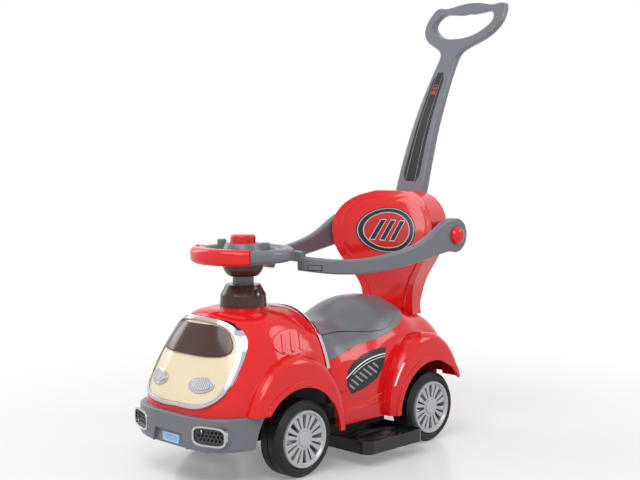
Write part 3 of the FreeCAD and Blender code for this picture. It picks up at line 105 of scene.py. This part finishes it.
class Finish:
    """A material under construction, with one way of adding nodes."""

    def __init__(self, name, **constants):
        self.material = bpy.data.materials.new(name)
        self.material.use_nodes = True
        self.tree = self.material.node_tree
        self.shader = self.tree.nodes["Principled BSDF"]
        for word, value in constants.items():
            socket = word.replace("_", " ").title().replace("Ior", "IOR")
            self.shader.inputs[socket].default_value = value

    def node(self, kind, settings=None, inputs=None, output=0):
        made = self.tree.nodes.new("ShaderNode" + kind)
        for key, value in (settings or {}).items():
            setattr(made, key, value)
        for key, value in (inputs or {}).items():
            self.feed(made.inputs[key], value)
        return Wire(self, made.outputs[output])

    def feed(self, socket, value):
        if isinstance(value, Wire):
            self.tree.links.new(value.socket, socket)
        else:
            socket.default_value = value

    def set(self, name, value):
        self.feed(self.shader.inputs[name], value)

    def place(self, centre=(0, 0, 0), turn=(0, 0, 0)):
        spot = self.node("TexCoord", output="Object")
        return self.node("Mapping", {"vector_type": "TEXTURE"},
                         {"Vector": spot, "Location": centre, "Rotation": turn})

    def stretched(self, vector, scale):
        return self.node("Mapping", inputs={"Vector": vector, "Scale": scale})

    def axes(self, vector):
        split = self.node("SeparateXYZ", inputs={0: vector})
        outputs = split.socket.node.outputs
        return [Wire(self, outputs[k]) for k in range(3)]

    def noise(self, vector, scale, detail=2.0, rough=0.5):
        return self.node("TexNoise", inputs={"Vector": vector, "Scale": scale, "Detail": detail,
                                             "Roughness": rough})

    def zigzag(self, along, half_pitch):
        """Rises and falls between 0 and 1 along one axis."""
        return self.node("Math", {"operation": "PINGPONG"}, {0: along, 1: half_pitch}) / half_pitch

    def mix(self, mask, under, over):
        return self.node("Mix", {"data_type": "RGBA"}, {0: mask, 6: under, 7: over}, output=2)

    def relief(self, height, distance, strength=1.0, edge=None):
        inputs = {"Height": height, "Distance": distance, "Strength": strength}
        if edge:
            inputs["Normal"] = self.node("Bevel", {"samples": 6}, {"Radius": edge})
        self.set("Normal", self.node("Bump", inputs=inputs))


EDGE_ROUND = 0.0012  # radius that the shading gives every moulded edge
INK_GRAIN = 0.00002  # height of the grain on printed films


def shade(colour, factor):
    return tuple(min(1.0, c * factor) for c in colour[:3]) + (1.0,)


def moulded_plastic(name, colour, rough, coat=0.0, grain=0.00004, grain_scale=900.0, haze=0.05, ior=1.46):
    """Moulded plastic: faint flow variation in colour, handling haze in the gloss, fine surface grain."""
    finish = Finish(name, coat_weight=coat, coat_roughness=0.04, ior=ior)
    spot = finish.place()
    flow = finish.noise(spot, 7.0, 3.0)
    finish.set("Base Color", finish.mix(flow, shade(colour, 0.93), shade(colour, 1.06)))
    rub = finish.noise(spot, 26.0, 4.0, 0.6)
    finish.set("Roughness", rub * (haze * 2) + (rough - haze))
    finish.relief(finish.noise(spot, grain_scale, 1.0), grain, 1.0, EDGE_ROUND)
    return finish


RED = (0.72, 0.009, 0.011)
GREY = (0.150, 0.157, 0.182)
BROWN = (0.058, 0.024, 0.017)
CREAM = (0.80, 0.68, 0.47)
BLACK = (0.012, 0.012, 0.013)
SILVER = (0.46, 0.47, 0.49)
RUBBER = (0.008, 0.008, 0.009)

red_gloss = moulded_plastic("red_gloss_plastic", RED, rough=0.10, coat=0.05, grain=0.00003,
                            grain_scale=260.0, ior=1.42)
grey_satin = moulded_plastic("grey_satin_plastic", GREY, rough=0.31, coat=0.1, grain=0.00006,
                             grain_scale=1400.0)
brown_gloss = moulded_plastic("brown_gloss_plastic", BROWN, rough=0.17, coat=0.1, ior=1.4)
cream_gloss = moulded_plastic("cream_gloss_plastic", CREAM, rough=0.2, coat=0.25)
black_gloss = moulded_plastic("black_gloss_plastic", BLACK, rough=0.2, coat=0.1, grain_scale=500.0, ior=1.4)
black_satin = moulded_plastic("black_satin_plastic", BLACK, rough=0.38, grain=0.00008, grain_scale=1100.0,
                              ior=1.36)
silver_paint = moulded_plastic("silver_painted_plastic", SILVER, rough=0.34, coat=0.2, grain=0.00003,
                               grain_scale=2200.0)
silver_paint.set("Metallic", 0.35)
tyre_black = moulded_plastic("tyre_black", RUBBER, rough=0.46, grain=0.0001, grain_scale=700.0, ior=1.38)


def bright_plating():
    """Vacuum-plated plastic: mirror-like with faint waviness and wipe marks."""
    finish = Finish("bright_plating", metallic=1.0)
    spot = finish.place()
    wipe = finish.noise(finish.stretched(spot, (40, 40, 300)), 1.0, 3.0)
    finish.set("Base Color", finish.mix(wipe, (0.46, 0.47, 0.49, 1), (0.58, 0.58, 0.60, 1)))
    finish.set("Roughness", wipe * 0.08 + 0.05)
    finish.relief(finish.noise(spot, 60.0), 0.0002, 0.35, EDGE_ROUND)
    return finish


def plain_steel():
    """Drawn steel rod with fine lengthwise lines."""
    finish = Finish("plain_steel", metallic=1.0)
    line = finish.noise(finish.stretched(finish.place(), (40, 900, 900)), 1.0, 2.0)
    finish.set("Base Color", finish.mix(line, (0.40, 0.40, 0.41, 1), (0.62, 0.62, 0.63, 1)))
    finish.set("Roughness", line * 0.2 + 0.22)
    finish.relief(line, 0.00003)
    return finish


chrome = bright_plating()
steel = plain_steel()

FINISHES = {
    "red_gloss": red_gloss, "grey_satin": grey_satin, "brown_gloss": brown_gloss, "cream_panel": cream_gloss,
    "bright_trim": chrome, "lamp_mesh": black_satin, "tyre": tyre_black, "silver_wheel": silver_paint,
    "black_decal": black_satin, "steel": steel, "black_plastic": black_satin,
}


def wear(node, finish):
    """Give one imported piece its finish."""
    nodes[node].data.materials.clear()
    nodes[node].data.materials.append(finish.material)


for part in frame["record"]["subparts"]:
    wear(part["node"], FINISHES[part["material_slot"]])


BLACK_INK = (0.012, 0.012, 0.013, 1)
SILVER_INK = (0.45, 0.46, 0.48, 1)
WHITE_INK = (0.82, 0.82, 0.82, 1)


def flash_print():
    """Side film: black with two white pin lines along the upper edge and slanted silver bars below them."""
    bar_pitch, bar_share, bar_slant = 0.013, 0.34, 0.7
    finish = Finish("side_flash_print", coat_weight=0.1, coat_roughness=0.08, roughness=0.3, ior=1.38)
    spot = finish.place(centre=(0,) + car(5, 160), turn=(math.radians(19), 0, 0))
    _, along, across = finish.axes(spot)
    bend = across + along * along * 2.6
    wide_line = abs(bend - 0.0135) < 0.0011
    fine_line = (abs(bend - 0.0085) < 0.0006) & (along > -0.03)
    lean = along + across * bar_slant
    bars = finish.node("Math", {"operation": "FRACT"}, {0: lean / bar_pitch}) < bar_share
    field = (bend < 0.0035) & (bend > -0.017) & (along < 0.036) & (along > -0.045)
    ink = finish.noise(spot, 1600.0, 1.0)
    base = finish.mix(ink, (0.010, 0.010, 0.011, 1), (0.017, 0.017, 0.019, 1))
    base = finish.mix(bars & field, base, (0.30, 0.31, 0.33, 1))
    finish.set("Base Color", finish.mix(wide_line | fine_line, base, WHITE_INK))
    finish.relief(ink, INK_GRAIN)
    return finish


def white_print():
    """White printed film."""
    finish = Finish("white_film", coat_weight=0.3, roughness=0.35)
    ink = finish.noise(finish.place(), 1500.0, 1.0)
    finish.set("Base Color", finish.mix(ink, (0.76, 0.75, 0.75, 1), (0.86, 0.86, 0.85, 1)))
    finish.relief(ink, INK_GRAIN)
    return finish


def badge_print():
    """Oval backrest badge: black border, silver pin line, red field crossed by three plain slanted bars."""
    bar_pitch, bar_half, bar_tall, pin_line, bar_slant = 0.026, 0.006, 0.02, 0.0015, 0.6
    low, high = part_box("backrest_badge")
    middle = [(a + b) / 2 for a, b in zip(low, high)]
    half_wide, half_high = (high[0] - low[0]) / 2, (high[2] - low[2]) / 2
    finish = Finish("badge_print", coat_weight=0.15, coat_roughness=0.05, roughness=0.25, ior=1.4)
    x, _, z = finish.axes(finish.place(centre=middle))
    ring = (x / half_wide) * (x / half_wide) + (z / half_high) * (z / half_high)
    ink = finish.noise(finish.place(), 1400.0, 1.0)
    lean = x - z * bar_slant

    def three_bars(half):
        return (abs(lean) < half) | (abs(lean - bar_pitch) < half) | (abs(lean + bar_pitch) < half)

    base = finish.mix(ink, (0.50, 0.015, 0.016, 1), (0.56, 0.02, 0.02, 1))
    outline = three_bars(bar_half + pin_line) & (abs(z) < bar_tall + pin_line)
    base = finish.mix(outline, base, (0.62, 0.62, 0.63, 1))
    base = finish.mix(three_bars(bar_half) & (abs(z) < bar_tall), base, BLACK_INK)
    base = finish.mix(ring > 0.56, base, SILVER_INK)
    base = finish.mix(ring > 0.62, base, BLACK_INK)
    base = finish.mix((ring > 0.86) & (ring < 0.92), base, SILVER_INK)
    finish.set("Base Color", base)
    finish.relief(ink, INK_GRAIN)
    return finish


def inlay_print():
    """Handle inlay: black satin, a fine pale line that follows its edge and three short bars near the top."""
    low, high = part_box("handle_inlay")
    finish = Finish("inlay_print", roughness=0.34, ior=1.36)
    spot = finish.place(centre=((low[0] + high[0]) / 2, 0, (low[2] + high[2]) / 2))
    x, _, z = finish.axes(spot)
    half = (high[2] - low[2]) / 2
    taper = z / half * -0.18 + 0.8
    edge = abs(x) / taper
    line = abs(edge - 0.0125) < 0.0006
    first, second, third = [abs(z - half * share) < thick
                            for share, thick in ((0.62, 0.0035), (0.70, 0.0022), (0.76, 0.0012))]
    bars = (first | second | third) & (edge < 0.0085)
    ink = finish.noise(spot, 1500.0, 1.0)
    base = finish.mix(ink, (0.010, 0.010, 0.011, 1), (0.018, 0.018, 0.02, 1))
    base = finish.mix(line, base, (0.26, 0.26, 0.27, 1))
    finish.set("Base Color", finish.mix(bars, base, (0.42, 0.03, 0.035, 1)))
    finish.relief(ink, 0.00003)
    return finish


def lamp_weave():
    """Black lamp grille: square mesh pattern sunk between raised wires, with painted shade in the sunk mesh
    and the raised wires painted lighter.
    """
    half_pitch = 0.0016
    finish = Finish("lamp_grille", coat_weight=0.2, roughness=0.3)
    x, _, z = finish.axes(finish.place())
    wire_height_and_shade = finish.zigzag(x + z, half_pitch) | finish.zigzag(x - z, half_pitch)
    # painted shade: the colour follows the relief, near black in the sunk mesh and lighter on the raised
    # wires
    finish.set("Base Color", finish.mix(wire_height_and_shade, (0.004, 0.004, 0.004, 1), (0.05, 0.05, 0.052, 1)))
    finish.relief(wire_height_and_shade, 0.0006)
    return finish


def lamp_lens():
    """Clear front lamp with fine upright flutes; its colour is painted shade in each flute's valley and
    painted highlight on each crest.
    """
    finish = Finish("lamp_lens", coat_weight=0.4, coat_roughness=0.04)
    spot = finish.place()
    x, _, _ = finish.axes(spot)
    flute_height_and_shine = finish.zigzag(x, 0.0018)
    # painted light: the colour follows each flute's height, dark in the valley as painted shade and pale on
    # the crest as painted highlight
    finish.set("Base Color", finish.mix(flute_height_and_shine, (0.22, 0.225, 0.24, 1), (0.72, 0.73, 0.75, 1)))
    finish.set("Roughness", finish.noise(spot, 40.0) * 0.08 + 0.1)
    finish.relief(flute_height_and_shine, 0.0005)
    return finish


def plate_print():
    """Blank bumper plate: pale blue with a white border line."""
    half_wide, half_high, line = 0.0195, 0.0066, 0.0008
    finish = Finish("blank_plate", coat_weight=0.4, roughness=0.28)
    x, _, z = finish.axes(finish.place(centre=(0, 0, 0.0785)))
    inside = (abs(z) < half_high) & (abs(x) < half_wide)
    border = inside & ((abs(z) > half_high - line) | (abs(x) > half_wide - line))
    ink = finish.noise(finish.place(), 1400.0, 1.0)
    base = finish.mix(ink, (0.20, 0.42, 0.72, 1), (0.25, 0.48, 0.78, 1))
    finish.set("Base Color", finish.mix(border, base, WHITE_INK))
    finish.relief(ink, INK_GRAIN)
    return finish


flash_film = flash_print()
plate_film = plate_print()
white_film = white_print()
lens_glass = lamp_lens()
wear("backrest_badge", badge_print())
wear("handle_inlay", inlay_print())
for word in ("left", "right"):
    wear("footrest_" + word, black_gloss)
    wear("fog_lamp_mesh_" + word, lamp_weave())


def start_alone():
    """Object mode with nothing selected, ready for a new primitive."""
    if bpy.context.object and bpy.context.object.mode != "OBJECT":
        bpy.ops.object.mode_set(mode="OBJECT")
    bpy.ops.object.select_all(action="DESELECT")


def edit_in_place(name, size=(1, 1, 1)):
    """Put the new primitive's size and place into its mesh and open it for modelling."""
    piece = bpy.context.object
    piece.name = name
    piece.scale = size
    bpy.ops.object.transform_apply(location=True, rotation=True, scale=True)
    bpy.ops.object.mode_set(mode="EDIT")
    return piece


def choose(piece, kind, test):
    """Select the corners, edges or faces of a piece in edit mode that pass the test."""
    bpy.ops.mesh.select_mode(type=kind)
    bpy.ops.mesh.select_all(action="DESELECT")
    mesh = bmesh.from_edit_mesh(piece.data)
    for item in {"VERT": mesh.verts, "EDGE": mesh.edges, "FACE": mesh.faces}[kind]:
        item.select_set(test(item))
    if kind == "VERT":
        mesh.select_flush(True)
    bmesh.update_edit_mesh(piece.data)


def finished(piece, body, finish, modifiers=(), angle=35):
    """Apply the piece's modifiers, smooth it, give it its finish and let it move with its body."""
    bpy.ops.object.mode_set(mode="OBJECT")
    for kind, settings in modifiers:
        added = piece.modifiers.new(kind.title(), kind)
        for key, value in settings.items():
            setattr(added, key, value)
        bpy.ops.object.modifier_apply(modifier=added.name)
    bpy.ops.object.shade_smooth_by_angle(angle=math.radians(angle))
    piece.data.materials.clear()
    piece.data.materials.append(finish.material)
    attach(piece, body)
    return piece


FILM = 0.0006
# flat sheets start this far to a side or in front of the car, and are then laid on it
BESIDE = 0.25
AHEAD = -0.55
FACINGS = {
    "left": {"axis": "x", "turn": (QUARTER_TURN, 0, QUARTER_TURN), "away": lambda a, b: (BESIDE, a, b)},
    "right": {"axis": "x", "turn": (QUARTER_TURN, 0, -QUARTER_TURN), "away": lambda a, b: (-BESIDE, a, b)},
    "front": {"axis": "y", "turn": (QUARTER_TURN, 0, 0), "away": lambda a, b: (a, AHEAD, b)},
}


def laid_on(node, facing, thick):
    """Modifiers that lay a flat sheet against a panel from one side and give it its thickness."""
    axis = FACINGS[facing]["axis"]
    return (("SHRINKWRAP", {"wrap_method": "PROJECT", "wrap_mode": "ON_SURFACE", "target": nodes[node],
                            "use_project_x": axis == "x", "use_project_y": axis == "y",
                            "use_project_z": False, "use_negative_direction": facing == "left",
                            "use_positive_direction": facing != "left"}),
            ("SOLIDIFY", {"thickness": thick, "offset": 1.0}))


def soft_edge(width):
    """Modifier that rounds the sharp edges of a sheet."""
    return ("BEVEL", {"width": width, "segments": 3, "limit_method": "ANGLE",
                      "angle_limit": math.radians(50)})


def cut_sheet(name, facing, outline, node, body, finish, thick=FILM, step=0.003, extra=()):
    """Film or plate: a fine sheet trimmed along each edge of its outline and laid on the panel below it."""
    across, up = zip(*outline)
    wide, high = max(across) - min(across), max(up) - min(up)
    place = FACINGS[facing]
    start_alone()
    bpy.ops.mesh.primitive_grid_add(
        x_subdivisions=max(2, round(wide / step)), y_subdivisions=max(2, round(high / step)), size=1,
        location=place["away"](min(across) + wide / 2, min(up) + high / 2), rotation=place["turn"])
    sheet = edit_in_place(name, (wide, high, 1))
    for (a, b), (a_next, b_next) in zip(outline, outline[1:] + outline[:1]):
        length = math.dist((a, b), (a_next, b_next))
        out = ((b_next - b) / length, (a - a_next) / length)
        bpy.ops.mesh.select_all(action="SELECT")
        bpy.ops.mesh.bisect(plane_co=place["away"](a, b), clear_outer=True,
                            plane_no=(0, out[0], out[1]) if place["axis"] == "x" else (out[0], 0, out[1]))
    return finished(sheet, body, finish, laid_on(node, facing, thick) + tuple(extra))


FLASH_OUTLINE = [car(*point) for point in (
    (-29, 121), (5, 127), (38, 140), (58, 160), (70, 195), (40, 193.5), (8, 187.5), (-18, 178), (-36, 166),
    (-42, 152), (-40, 136))]
STRIPE_CENTRE = car(208.7, 73.1)
STRIPE_RADIUS = 0.1495
STRIPE_WIDTH = 0.0028
STRIPE_START = 160
STRIPE_SWEEP = 18


def swept_stripe(name, word, side):
    """Pin stripe: one short edge spun round the rear wheel arch and laid on the fender."""
    turn = math.radians(STRIPE_START)
    y = STRIPE_CENTRE[0] + STRIPE_RADIUS * math.cos(turn)
    z = STRIPE_CENTRE[1] + STRIPE_RADIUS * math.sin(turn)
    start_alone()
    bpy.ops.mesh.primitive_plane_add(size=STRIPE_WIDTH, location=(side * BESIDE, y, z),
                                     rotation=(QUARTER_TURN, 0, side * QUARTER_TURN))
    stripe = edit_in_place(name)
    choose(stripe, "VERT", lambda corner: corner.co.y > y)
    bpy.ops.mesh.delete(type="VERT")
    bpy.ops.mesh.select_all(action="SELECT")
    bpy.ops.transform.translate(value=(0, STRIPE_WIDTH / 2, 0))
    bpy.ops.transform.rotate(value=math.radians(STRIPE_START - 90), orient_axis="X",
                             center_override=(side * BESIDE, y, z))
    bpy.ops.mesh.subdivide(number_cuts=2)
    bpy.ops.mesh.select_all(action="SELECT")
    bpy.ops.mesh.spin(steps=round(STRIPE_SWEEP * 1.5), angle=math.radians(STRIPE_SWEEP),
                      center=(side * BESIDE,) + STRIPE_CENTRE, axis=(1, 0, 0))
    bpy.ops.mesh.select_all(action="SELECT")
    bpy.ops.mesh.normals_make_consistent(inside=False)
    if side * sum(face.normal.x for face in bmesh.from_edit_mesh(stripe.data).faces) < 0:
        bpy.ops.mesh.flip_normals()
    return finished(stripe, "chassis", white_film, laid_on("body_shell", word, FILM))


COARSE_MERGE = 0.0006  # short edges go before a bevel
FINE_MERGE = 0.00001


def round_over(piece, width):
    """Round the outward edges of a part in edit mode, leaving its inner corners as they are."""
    sharp = math.radians(25)
    bpy.ops.mesh.dissolve_limited(angle_limit=math.radians(2))
    choose(piece, "EDGE", lambda edge: edge.is_manifold and edge.is_convex and edge.calc_face_angle() > sharp)
    bpy.ops.mesh.bevel(offset=width, segments=3, affect="EDGES", clamp_overlap=False)


def softened(node, body, finish, width=0.0, modifiers=()):
    """A moulded part drawn smooth, with its outward edges rounded by the width, in place of the plain one."""
    start_alone()
    piece = nodes[node].copy()
    piece.data = nodes[node].data.copy()
    piece.name = node + "_smooth"
    bpy.context.scene.collection.objects.link(piece)
    piece.select_set(True)
    bpy.context.view_layer.objects.active = piece
    bpy.ops.object.mode_set(mode="EDIT")
    bpy.ops.mesh.select_all(action="SELECT")
    bpy.ops.mesh.remove_doubles(threshold=COARSE_MERGE if width else FINE_MERGE)
    if width:
        round_over(piece, width)
    finished(piece, body, finish, modifiers, 40)
    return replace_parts(piece, node)


WINDSCREEN_HALF = (
    (0.045, 0.2170), (0.070, 0.2183), (0.080, 0.2210), (0.0848, 0.2262), (0.0840, 0.2332), (0.0803, 0.2407),
    (0.0752, 0.2482), (0.0690, 0.2550), (0.0600, 0.2610), (0.0490, 0.2650), (0.0360, 0.2672))


def windscreen():
    """Plain dark windscreen on the front panel, level along its foot and rounded at its corners."""
    outline = list(WINDSCREEN_HALF) + [(-x, z) for x, z in reversed(WINDSCREEN_HALF)]
    pane = cut_sheet("windscreen", "front", outline, "front_panel", "chassis", brown_gloss,
                     thick=0.003, extra=(soft_edge(0.0012),))
    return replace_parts(pane, "front_visor")


LAMP_OUT = 0.055
LAMP_HEIGHT = 0.173
LAMP_STEP = 0.002
BEZEL_HALVES = (0.026, 0.0125)
LENS_HALVES = (0.0215, 0.0088)


def lamp_oval(side, half_wide, half_high, count=32):
    """Points round a front lamp, in the order that cut_sheet trims them."""
    turns = [2 * math.pi * k / count for k in range(count)]
    return [(side * LAMP_OUT + half_wide * math.cos(turn), LAMP_HEIGHT + half_high * math.sin(turn))
            for turn in turns]


def front_lamp(word, side):
    """Level oval lamp: a bright bezel with a fluted lens standing out of it."""
    bezel = cut_sheet("front_lamp_bezel_" + word, "front", lamp_oval(side, *BEZEL_HALVES), "front_panel",
                      "chassis", chrome, thick=0.0024, step=LAMP_STEP,
                      extra=(soft_edge(0.0009),))
    cut_sheet("front_lamp_lens_" + word, "front", lamp_oval(side, *LENS_HALVES), "front_panel",
              "chassis", lens_glass, thick=0.0042, step=LAMP_STEP,
              extra=(soft_edge(0.0012),))
    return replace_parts(bezel, "front_insert_" + word)


FIELD_ROWS = (
    (0.0475, 0.246), (0.0480, 0.262), (0.0500, 0.278), (0.0550, 0.292), (0.0630, 0.306), (0.0740, 0.322),
    (0.0860, 0.339), (0.0970, 0.354), (0.1065, 0.370), (0.1125, 0.385), (0.1148, 0.400), (0.1145, 0.412),
    (0.1110, 0.430), (0.1040, 0.444), (0.0945, 0.455), (0.0845, 0.463), (0.0725, 0.4685), (0.0580, 0.4715),
    (0.0420, 0.4725))
FIELD_COLUMNS = 24


def backrest_field():
    """Raised middle of the backrest: a sheet drawn row by row to a smooth outline, laid on the shell."""
    steps = len(FIELD_ROWS) - 1
    above = 5.0  # rows wait up here, clear of the rows that are already in place
    start_alone()
    bpy.ops.mesh.primitive_grid_add(x_subdivisions=FIELD_COLUMNS, y_subdivisions=steps, size=2,
                                    location=(0, AHEAD, above), rotation=FACINGS["front"]["turn"])
    field = edit_in_place("backrest_field")

    def over_groove(corner):
        out, up = abs(corner.co.x), corner.co.z - above
        return out < 0.95 and up < 0.99 and (out > 0.8 or up > 0.5)

    choose(field, "VERT", over_groove)
    bpy.ops.object.vertex_group_add()
    bpy.ops.object.vertex_group_assign()
    group = field.vertex_groups[0].name
    for row, (half, height) in enumerate(FIELD_ROWS):
        level = above - 1 + 2 * row / steps
        choose(field, "VERT", lambda corner: abs(corner.co.z - level) < 0.5 / steps)
        bpy.ops.transform.resize(value=(half, 1, 1), center_override=(0, AHEAD, level))
        bpy.ops.transform.translate(value=(0, 0, height - level))
    lay, thicken = laid_on("backrest_shell", "front", FILM)
    return finished(field, "chassis", red_gloss, (
        ("SUBSURF", {"levels": 2}), lay,
        ("SMOOTH", {"factor": 0.5, "iterations": 24, "vertex_group": group}), thicken))


COLUMN = -186  # place of the steering column along the car, in mm
BUTTON_OUT = 0.058
BUTTON_MIDDLE = 387.75


def chime_cap(word, side):
    """Sound button: a tall round cap with a soft edge and a sunk ring on its top."""
    start_alone()
    bpy.ops.mesh.primitive_cylinder_add(vertices=48, radius=0.0084, depth=0.0335,
                                        location=(side * BUTTON_OUT,) + car(COLUMN, BUTTON_MIDDLE))
    cap = edit_in_place("chime_cap_" + word)
    choose(cap, "FACE", lambda face: face.normal.z > 0.9)
    bpy.ops.mesh.bevel(offset=0.0022, segments=4, affect="EDGES")
    choose(cap, "FACE", lambda face: face.normal.z > 0.99)
    for inset, lift in ((0.0012, -0.0008), (0.0016, 0.0010)):
        bpy.ops.mesh.inset(thickness=inset)
        bpy.ops.transform.translate(value=(0, 0, lift))
    finished(cap, "chime_button_" + word, grey_satin)
    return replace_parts(cap, "chime_button_" + word)


SCREW_HEIGHT = 312
SCREW_OUT = 0.0388
CROSS_OUT = 0.0412


def lug_screw(name, side):
    """Pan-head screw sunk in the collar's lug: a rounded head with a cross cut into it."""
    y, z = car(COLUMN, SCREW_HEIGHT)
    start_alone()
    bpy.ops.mesh.primitive_cylinder_add(vertices=32, radius=0.0036, depth=0.004,
                                        location=(side * SCREW_OUT, y, z),
                                        rotation=(0, side * QUARTER_TURN, 0))
    screw = edit_in_place(name)
    choose(screw, "FACE", lambda face: face.normal.x * side > 0.9)
    bpy.ops.mesh.bevel(offset=0.0013, segments=4, affect="EDGES")
    start_alone()
    bpy.ops.mesh.primitive_cube_add(size=1, location=(side * CROSS_OUT, y, z))
    cross = edit_in_place("cross_cut", (0.0024, 0.0009, 0.0042))
    bpy.ops.mesh.select_all(action="SELECT")
    bpy.ops.mesh.duplicate()
    bpy.ops.transform.rotate(value=QUARTER_TURN, orient_axis="X", center_override=(side * CROSS_OUT, y, z))
    start_alone()
    bpy.context.view_layer.objects.active = screw
    screw.select_set(True)
    finished(screw, "chassis", steel,
             (("BOOLEAN", {"operation": "DIFFERENCE", "object": cross, "use_self": True}),), 30)
    bpy.data.objects.remove(cross)
    return screw


for side, word in ((1, "left"), (-1, "right")):
    cut_sheet("side_flash_" + word, word, FLASH_OUTLINE, "body_shell", "chassis", flash_film)
    swept_stripe("fender_stripe_" + word, word, side)
    lug_screw("collar_screw_" + word, side)
    front_lamp(word, side)
    chime_cap(word, side)
windscreen()
backrest_field()

softened("push_handle", "chassis", grey_satin, modifiers=(
    ("REMESH", {"mode": "VOXEL", "voxel_size": 0.0011}), ("SMOOTH", {"factor": 0.5, "iterations": 45}),
    ("DECIMATE", {"ratio": 0.3})))
softened("wheel_rim_cover", "steering", red_gloss, width=0.003)
softened("steering_wheel", "steering", grey_satin, width=0.003)
for word in ("left", "right"):
    softened("guard_button_" + word, "guard_button_" + word, red_gloss)

LATCH_SIDES = (0.0615, 0.0855)
LATCH_HEIGHTS = (0.3480, 0.3578)
for name, shrink, thick, finish in (("guard_latch_frame", 0.0, 0.0008, black_satin),
                                    ("guard_latch_tab", 0.0011, 0.0016, grey_satin)):
    left, right = LATCH_SIDES[0] + shrink, LATCH_SIDES[1] - shrink
    low, high = LATCH_HEIGHTS[0] + shrink, LATCH_HEIGHTS[1] - shrink
    cut_sheet(name, "front", [(left, low), (right, low), (right, high), (left, high)], "guard_arm_left",
              "guard", finish, thick=thick, step=0.0015)
PLATE_OUTLINE = [(-0.021, 0.0705), (0.021, 0.0705), (0.024, 0.0865), (-0.024, 0.0865)]
cut_sheet("bumper_plate", "front", PLATE_OUTLINE, "front_bumper", "chassis", plate_film,
          thick=0.0012, step=0.002)


SOFT_BOXES = (
    ("key_box", (1.5, -1.7, 2.3), (0, 0, 0.3), (1.3, 1.3), 24),
    ("top_box", (0.2, -1.3, 2.0), (0, 0.1, 0.5), (1.0, 1.0), 13),
    ("side_box", (-2.2, -0.6, 1.5), (0, 0, 0.3), (1.0, 1.8), 16),
    ("rear_box", (1.9, 1.9, 1.9), (0, 0, 0.4), (1.0, 1.6), 20))
SEEN_RAYS = ("Is Camera Ray", "Is Glossy Ray", "Is Transmission Ray")
WHITE = (1, 1, 1, 1)
CAMERA_PLACE = (1.5161, -1.5964, 0.5710)
CAMERA_DOWN = 4.68
CAMERA_TURN = 44.6
CAMERA_LENS = 63.94
CAMERA_SENSOR = 36
FLOOR_SIZE = 12


def surround():
    """White where it is seen or mirrored, and a dimmer white as the light that fills the shadows."""
    world = bpy.data.worlds.new("studio")
    bpy.context.scene.world = world
    world.use_nodes = True
    tree = world.node_tree
    fill = tree.nodes["Background"]
    white = tree.nodes.new("ShaderNodeBackground")
    for background, strength in ((fill, 0.55), (white, 1.0)):
        background.inputs["Color"].default_value = WHITE
        background.inputs["Strength"].default_value = strength
    path = tree.nodes.new("ShaderNodeLightPath")
    choice = tree.nodes.new("ShaderNodeMixShader")
    seen = path.outputs[SEEN_RAYS[0]]
    for ray in SEEN_RAYS[1:]:
        either = tree.nodes.new("ShaderNodeMath")
        either.operation = "MAXIMUM"
        tree.links.new(seen, either.inputs[0])
        tree.links.new(path.outputs[ray], either.inputs[1])
        seen = either.outputs[0]
    tree.links.new(seen, choice.inputs[0])
    tree.links.new(fill.outputs[0], choice.inputs[1])
    tree.links.new(white.outputs[0], choice.inputs[2])
    tree.links.new(choice.outputs[0], tree.nodes["World Output"].inputs["Surface"])


def pale_floor():
    """Pale, faintly glossy floor that fades to white away from the car; near the car it still glows a little
    white, painted light that lightens the car's shadow.
    """
    bpy.ops.mesh.primitive_plane_add(size=FLOOR_SIZE, location=(0, 0, 0))
    floor = bpy.context.object
    floor.name = "studio_floor"
    pale = Finish("pale_floor")
    spot = pale.place()
    pale.set("Base Color", pale.mix(pale.noise(spot, 1.5), (0.80, 0.80, 0.81, 1), (0.84, 0.84, 0.85, 1)))
    pale.set("Roughness", pale.noise(spot, 14.0) * 0.06 + 0.22)
    away = pale.node("VectorMath", {"operation": "LENGTH"}, {0: spot}, output="Value")
    # painted light: even next to the car a share of white glow (To Min) is mixed in, which lightens the car's
    # shadow on the floor
    white_glow_share = pale.node("MapRange", {"interpolation_type": "SMOOTHSTEP"},
                    {"Value": away, "From Min": 0.45, "From Max": 1.15, "To Min": 0.22})
    camera, glossy, clear = [pale.node("LightPath", output=ray) for ray in SEEN_RAYS]
    glow = pale.node("Emission", inputs={"Color": WHITE, "Strength": 1.0})
    surface = Wire(pale, pale.shader.outputs[0])
    blend = pale.node("MixShader", inputs={0: white_glow_share & (camera | glossy | clear), 1: surface, 2: glow})
    pale.tree.links.new(blend.socket, pale.tree.nodes["Material Output"].inputs["Surface"])
    floor.data.materials.append(pale.material)


def lights_and_camera():
    """Four soft boxes, and the camera where the photograph was taken."""
    for name, spot, aim, size, power in SOFT_BOXES:
        lamp = bpy.data.lights.new(name, "AREA")
        lamp.shape = "RECTANGLE"
        lamp.size, lamp.size_y = size
        lamp.energy = power
        holder = bpy.data.objects.new(name, lamp)
        bpy.context.scene.collection.objects.link(holder)
        holder.location = spot
        way = Vector(aim) - Vector(spot)
        holder.rotation_euler = way.to_track_quat("-Z", "Y").to_euler()
    lens = bpy.data.cameras.new("photo_camera")
    lens.lens = CAMERA_LENS
    lens.sensor_width = CAMERA_SENSOR
    eye = bpy.data.objects.new("photo_camera", lens)
    eye.location = CAMERA_PLACE
    eye.rotation_euler = (math.radians(90 - CAMERA_DOWN), 0, math.radians(CAMERA_TURN))
    bpy.context.scene.collection.objects.link(eye)
    bpy.context.scene.camera = eye
    bpy.context.scene.view_settings.view_transform = "Standard"


surround()
pale_floor()
lights_and_camera()
